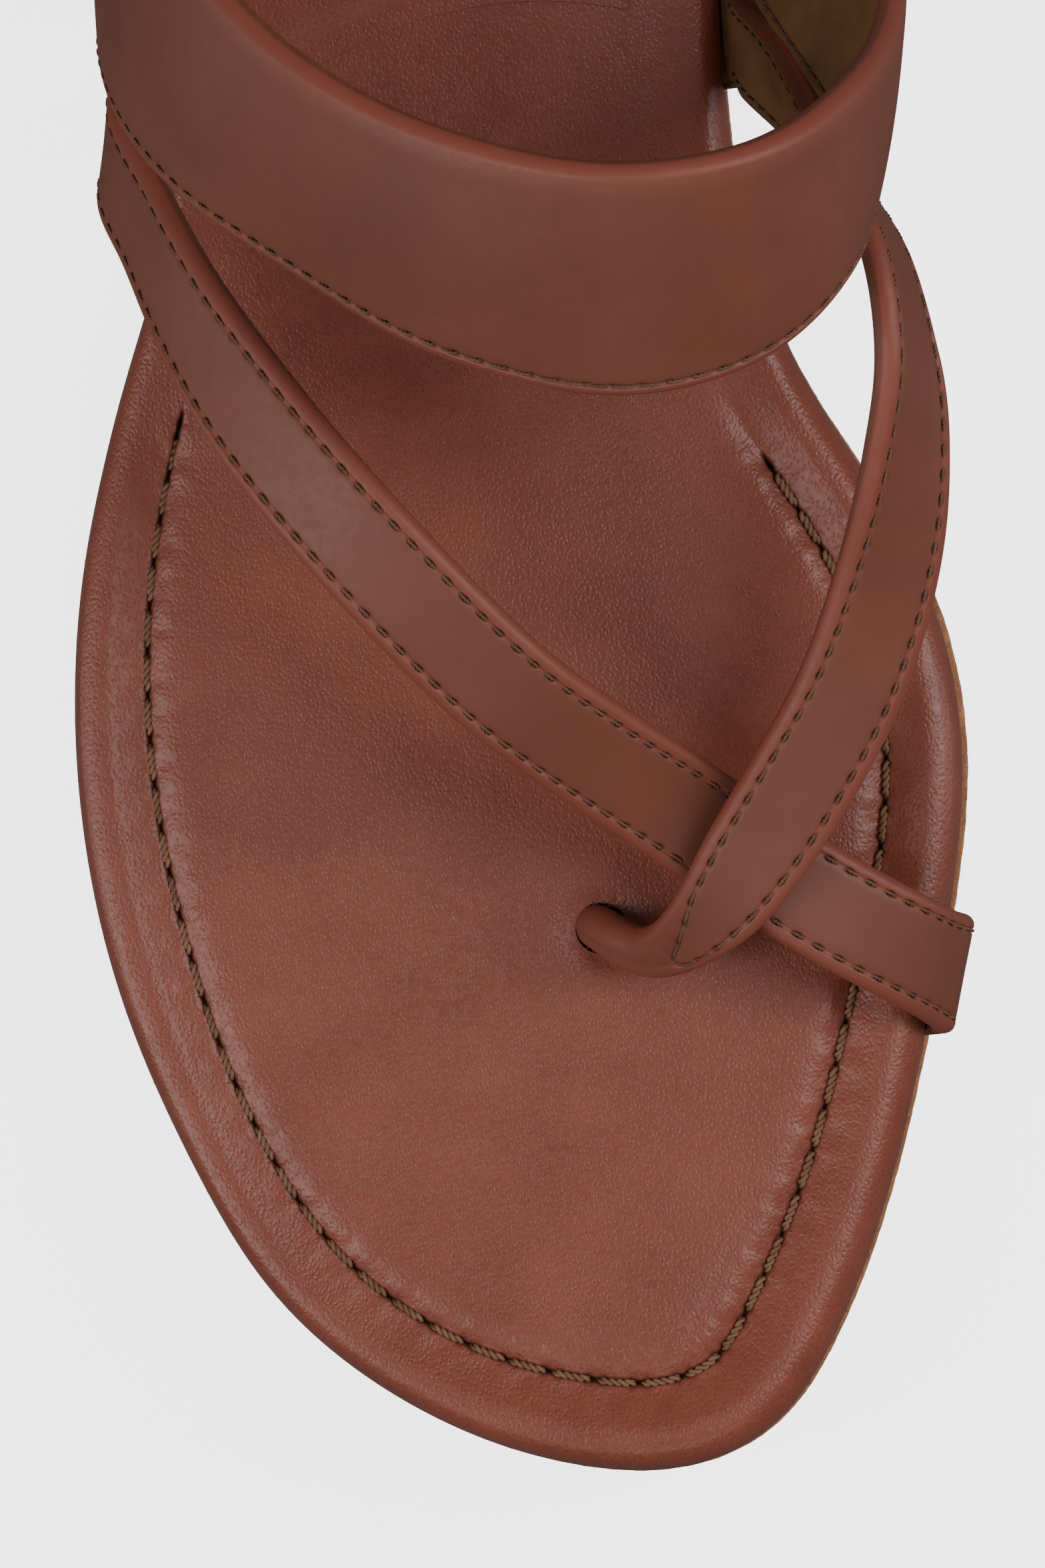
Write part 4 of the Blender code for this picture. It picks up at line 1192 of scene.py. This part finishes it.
def heel_sock(material):
    """Thin leather pad on the heel half of the footbed, with rounded front corners and soft edges."""
    loop = inset_loop(SOCK_INSET)
    rows = [i for i in range(2, len(loop) // 2, 2) if loop[i, 1] > SOCK_FRONT]
    share = (1 - np.cos(math.pi * np.linspace(0, 1, 41))) / 2
    lines = [sock_line(loop[i], loop[len(loop) - i], share) for i in rows]
    lower = np.array([line for line, _ in lines])
    upper = lower + 0.0
    upper[..., 2] += np.array([thick for _, thick in lines])
    points = np.vstack([upper.reshape(-1, 3), lower.reshape(-1, 3)])
    faces = slab_faces(*lower.shape[:2])
    marks = {"painted_shade": np.zeros(len(points))}
    return closed_object("heel_sock_pad", points, faces, material, marks, 60)


PLAIN_TOP = smooth_path(COVER_TOP, 400, axes=2)[150:]
FOOTBED_EDGE = inset_loop(0.0)


def cover_height(x, y):
    """Top of the footbed behind the groove, by distance from its edge."""
    distance = np.sqrt((FOOTBED_EDGE[:, 0] - x) ** 2 + (FOOTBED_EDGE[:, 1] - y) ** 2).min()
    return sole_rise(y) + np.interp(distance, PLAIN_TOP[:, 0], PLAIN_TOP[:, 1])


# ---------------------------------------------------------------- small pieces

def frayed_rim(material):
    """Short loose fibres of raw leather round the toe post's hole."""
    rng = np.random.default_rng(SEED)
    points, faces = [], []
    for _ in range(FIBRE_COUNT):
        angle = rng.uniform(0, 2 * math.pi)
        radius = HOLE_RADIUS + rng.uniform(-0.05, 0.25)
        start = np.array([
            HOLE[0] + radius * math.cos(angle), HOLE[1] + radius * math.sin(angle),
            10.75 + rng.uniform(-0.1, 0.25),
        ])
        lean = rng.normal(0, 1, 3) * (1, 1, 0.4)
        heading = unit(lean + np.array([-math.sin(angle), math.cos(angle), 0.3]))
        length = rng.uniform(0.35, 0.95)
        thick = rng.uniform(0.02, 0.045)
        bend = rng.normal(0, 0.15, 3) * (1, 1, 0.3)
        side = unit(np.cross(heading, [0.0, 0.0, 1.0]))
        up = np.cross(side, heading)
        base = len(points)
        for share, taper in FIBRE_TAPER:
            centre = start + heading * length * share + bend * share**2
            for turn in (0.0, 2.094, 4.189):
                points.append(centre + (side * math.cos(turn) + up * math.sin(turn)) * thick * taper)
        for step in range(3):
            for c in range(3):
                d = (c + 1) % 3
                low = base + step * 3
                faces.append((low + c, low + d, low + 3 + d, low + 3 + c))
        faces.append((base + 2, base + 1, base))
        faces.append((base + 9, base + 10, base + 11))
    return closed_object("post_hole_fibres", np.array(points), faces, material)


# ---------------------------------------------------------------- stage

def area_light(name, place, width, height, power, colour):
    """Rectangular softbox that faces the shoe."""
    light = bpy.data.lights.new(name, "AREA")
    light.shape = "RECTANGLE"
    light.size = width
    light.size_y = height
    light.energy = power
    light.color = colour
    thing = bpy.data.objects.new(name, light)
    bpy.context.scene.collection.objects.link(thing)
    thing.location = place
    direction = Vector(LIGHT_AIM) - Vector(place)
    thing.rotation_euler = direction.to_track_quat("-Z", "Y").to_euler()


def glowing_floor():
    """Pale floor a hair below the sole, bright to the camera but casting no glow on the shoe."""
    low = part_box("outsole")[0].z - GAP * MM
    corners = [(-1, -1), (1, -1), (1, 1), (-1, 1)]
    mesh = bpy.data.meshes.new("floor")
    mesh.from_pydata([(x * FLOOR_REACH, y * FLOOR_REACH, low) for x, y in corners], [], [(0, 1, 2, 3)])
    floor = bpy.data.objects.new("floor", mesh)
    bpy.context.scene.collection.objects.link(floor)
    paint = Paint("floor", 0.8, 0.1)
    paint.shader.inputs["Base Color"].default_value = (0.9, 0.9, 0.9, 1.0)
    paint.shader.inputs["Emission Color"].default_value = (1.0, 1.0, 1.0, 1.0)
    paint.shader.inputs["Emission Strength"].default_value = FLOOR_GLOW
    mesh.materials.append(paint.material)
    floor.visible_glossy = False
    floor.visible_diffuse = False


def studio_world():
    world = bpy.data.worlds.new("studio")
    world.use_nodes = True
    background = world.node_tree.nodes["Background"]
    background.inputs["Color"].default_value = (1.0, 1.0, 1.0, 1.0)
    background.inputs["Strength"].default_value = ROOM_GLOW
    bpy.context.scene.world = world


def overhead_camera():
    """Camera that looks straight down on the front of the shoe."""
    camera = bpy.data.cameras.new("camera")
    camera.lens = VIEW_LENS
    camera.sensor_width = 36.0
    eye = bpy.data.objects.new("camera", camera)
    bpy.context.scene.collection.objects.link(eye)
    eye.location = placed([*VIEW_CENTRE, VIEW_HEIGHT])
    eye.rotation_euler = (0.0, 0.0, -math.radians(VIEW_TURN))
    bpy.context.scene.camera = eye


def set_stage():
    glowing_floor()
    studio_world()
    for light in LIGHTS:
        area_light(*light)
    overhead_camera()


# ---------------------------------------------------------------- assembly

def show(piece, slot, *nodes):
    """The piece rides on the body and stands for these CAD nodes, which it hides; slot is not used."""
    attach(piece, "root")
    if nodes:
        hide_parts(*nodes)
    return piece


def sewn_span(rows, start=TUCK_REACH):
    """Where a strap's stitching starts and stops along it."""
    return start, run_length((rows[0] + rows[1]) / 2)[-1] - TUCK_REACH


def dress_sole(leather, fibre, straps):
    """Footbed, sock, outsole and heel, with slots where the straps' ends go in."""
    toe, thong, band = straps
    slots = [
        slot_cutter("slot_1", toe, 0), slot_cutter("slot_2", toe, -1), slot_cutter("slot_3", thong, -1),
        slot_cutter("slot_4", band, 0), slot_cutter("slot_5", band, -1), hole_cutter(),
    ]
    thread = thread_paint("seam_thread", (0.15, 0.075, 0.042), (0.23, 0.125, 0.07))
    rubber = plain_paint("heel_rubber", (0.035, 0.022, 0.016), (0.07, 0.045, 0.032), 1.5, 0.6)
    cover = show(footbed_cover(leather, slots), "brown_leather", "footbed_cover")
    show(footbed_stitching(thread), "thread", "footbed_stitching")
    show(heel_sock(leather), "brown_leather", "heel_sock")
    show(outsole(fibre), "sole_leather", "outsole")
    for name, low, high in HEEL_LAYERS:
        slot = "rubber" if name == "heel_top_piece" else "sole_leather"
        look = rubber if name == "heel_top_piece" else fibre
        show(heel_layer(name + "_shaped", low, high, look), slot, name)
    show(frayed_rim(fibre), "sole_leather")


def dress_strap(name, body_name, rows, looks, camber=0.0, tip=False, plain_rear=False):
    """Leather, lining and stitches of one strap; a tip is where it rolls up into the toe post."""
    leather, lining, thread = looks
    span = sewn_span(rows, TIP_START if tip else TUCK_REACH)
    nodes = [name + "_face"] + (["toe_post_sleeve"] if tip else [])
    body = strap_body(body_name, rows, leather, camber, span, tip, plain_rear)
    show(body, "brown_leather", *nodes)
    start = TIP_START + 1.0 if tip else 0.0
    under = strap_lining(name + "_underside", rows, lining, camber, span, start, plain_rear)
    show(under, "lining_leather", name + "_lining")
    for seed, side in enumerate(("front",) if plain_rear else ("front", "rear"), 2):
        row_name = f"{name}_stitches_{side}"
        row = strap_stitches(row_name, rows, thread, camber, span, side == "rear", seed, tip)
        node = "thong_strap_stitching" if tip else f"{name}_stitching_{side}"
        show(row, "thread", *([] if tip and side == "rear" else [node]))


def paint_inner_parts():
    """Better materials for the CAD parts that stay as they are."""
    # Colour of the painted shade round the toe post's hole.
    hole_shade_colour = (0.03, 0.015, 0.01)
    board = plain_paint("fibre_board", (0.28, 0.19, 0.11), (0.42, 0.31, 0.2), 1.2, 0.8, painted_hole_shade=hole_shade_colour)
    foam = plain_paint("latex_foam", (0.5, 0.45, 0.36), (0.66, 0.61, 0.5), 0.8, 0.9, painted_hole_shade=hole_shade_colour)
    cord = plain_paint("braided_cord", (0.36, 0.29, 0.2), (0.55, 0.46, 0.34), 0.5, 0.8)
    brass = plain_paint("nail_brass", (0.5, 0.34, 0.13), (0.7, 0.52, 0.24), 0.6, 0.35, 0.03, 1.0)
    looks = {"insole_board": board, "footbed_foam": foam, "toe_post_cord": cord, "toe_post_anchor": board}
    for number in range(1, 5):
        looks[f"heel_nail_{number}"] = brass
    for name, look in looks.items():
        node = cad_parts[name]
        node.data.materials.clear()
        node.data.materials.append(look)


def main():
    leather, strap, lining, fibre = footbed_leather(), strap_leather(), lining_leather(), sole_leather()
    fine_thread = thread_paint("strap_thread", (0.12, 0.06, 0.034), (0.17, 0.09, 0.052))
    looks = (strap, lining, fine_thread)
    toe, thong, band = toe_strap_rows(), thong_strap_rows(), band_rows()
    dress_sole(leather, fibre, (toe, thong, band))
    dress_strap("toe_strap", "toe_strap_turned", toe, looks)
    dress_strap("thong_strap", "thong_strap_and_post", thong, looks, tip=True)
    dress_strap("instep_band", "instep_band_turned", band, looks, BAND_CAMBER, plain_rear=True)
    paint_inner_parts()
    set_stage()


main()
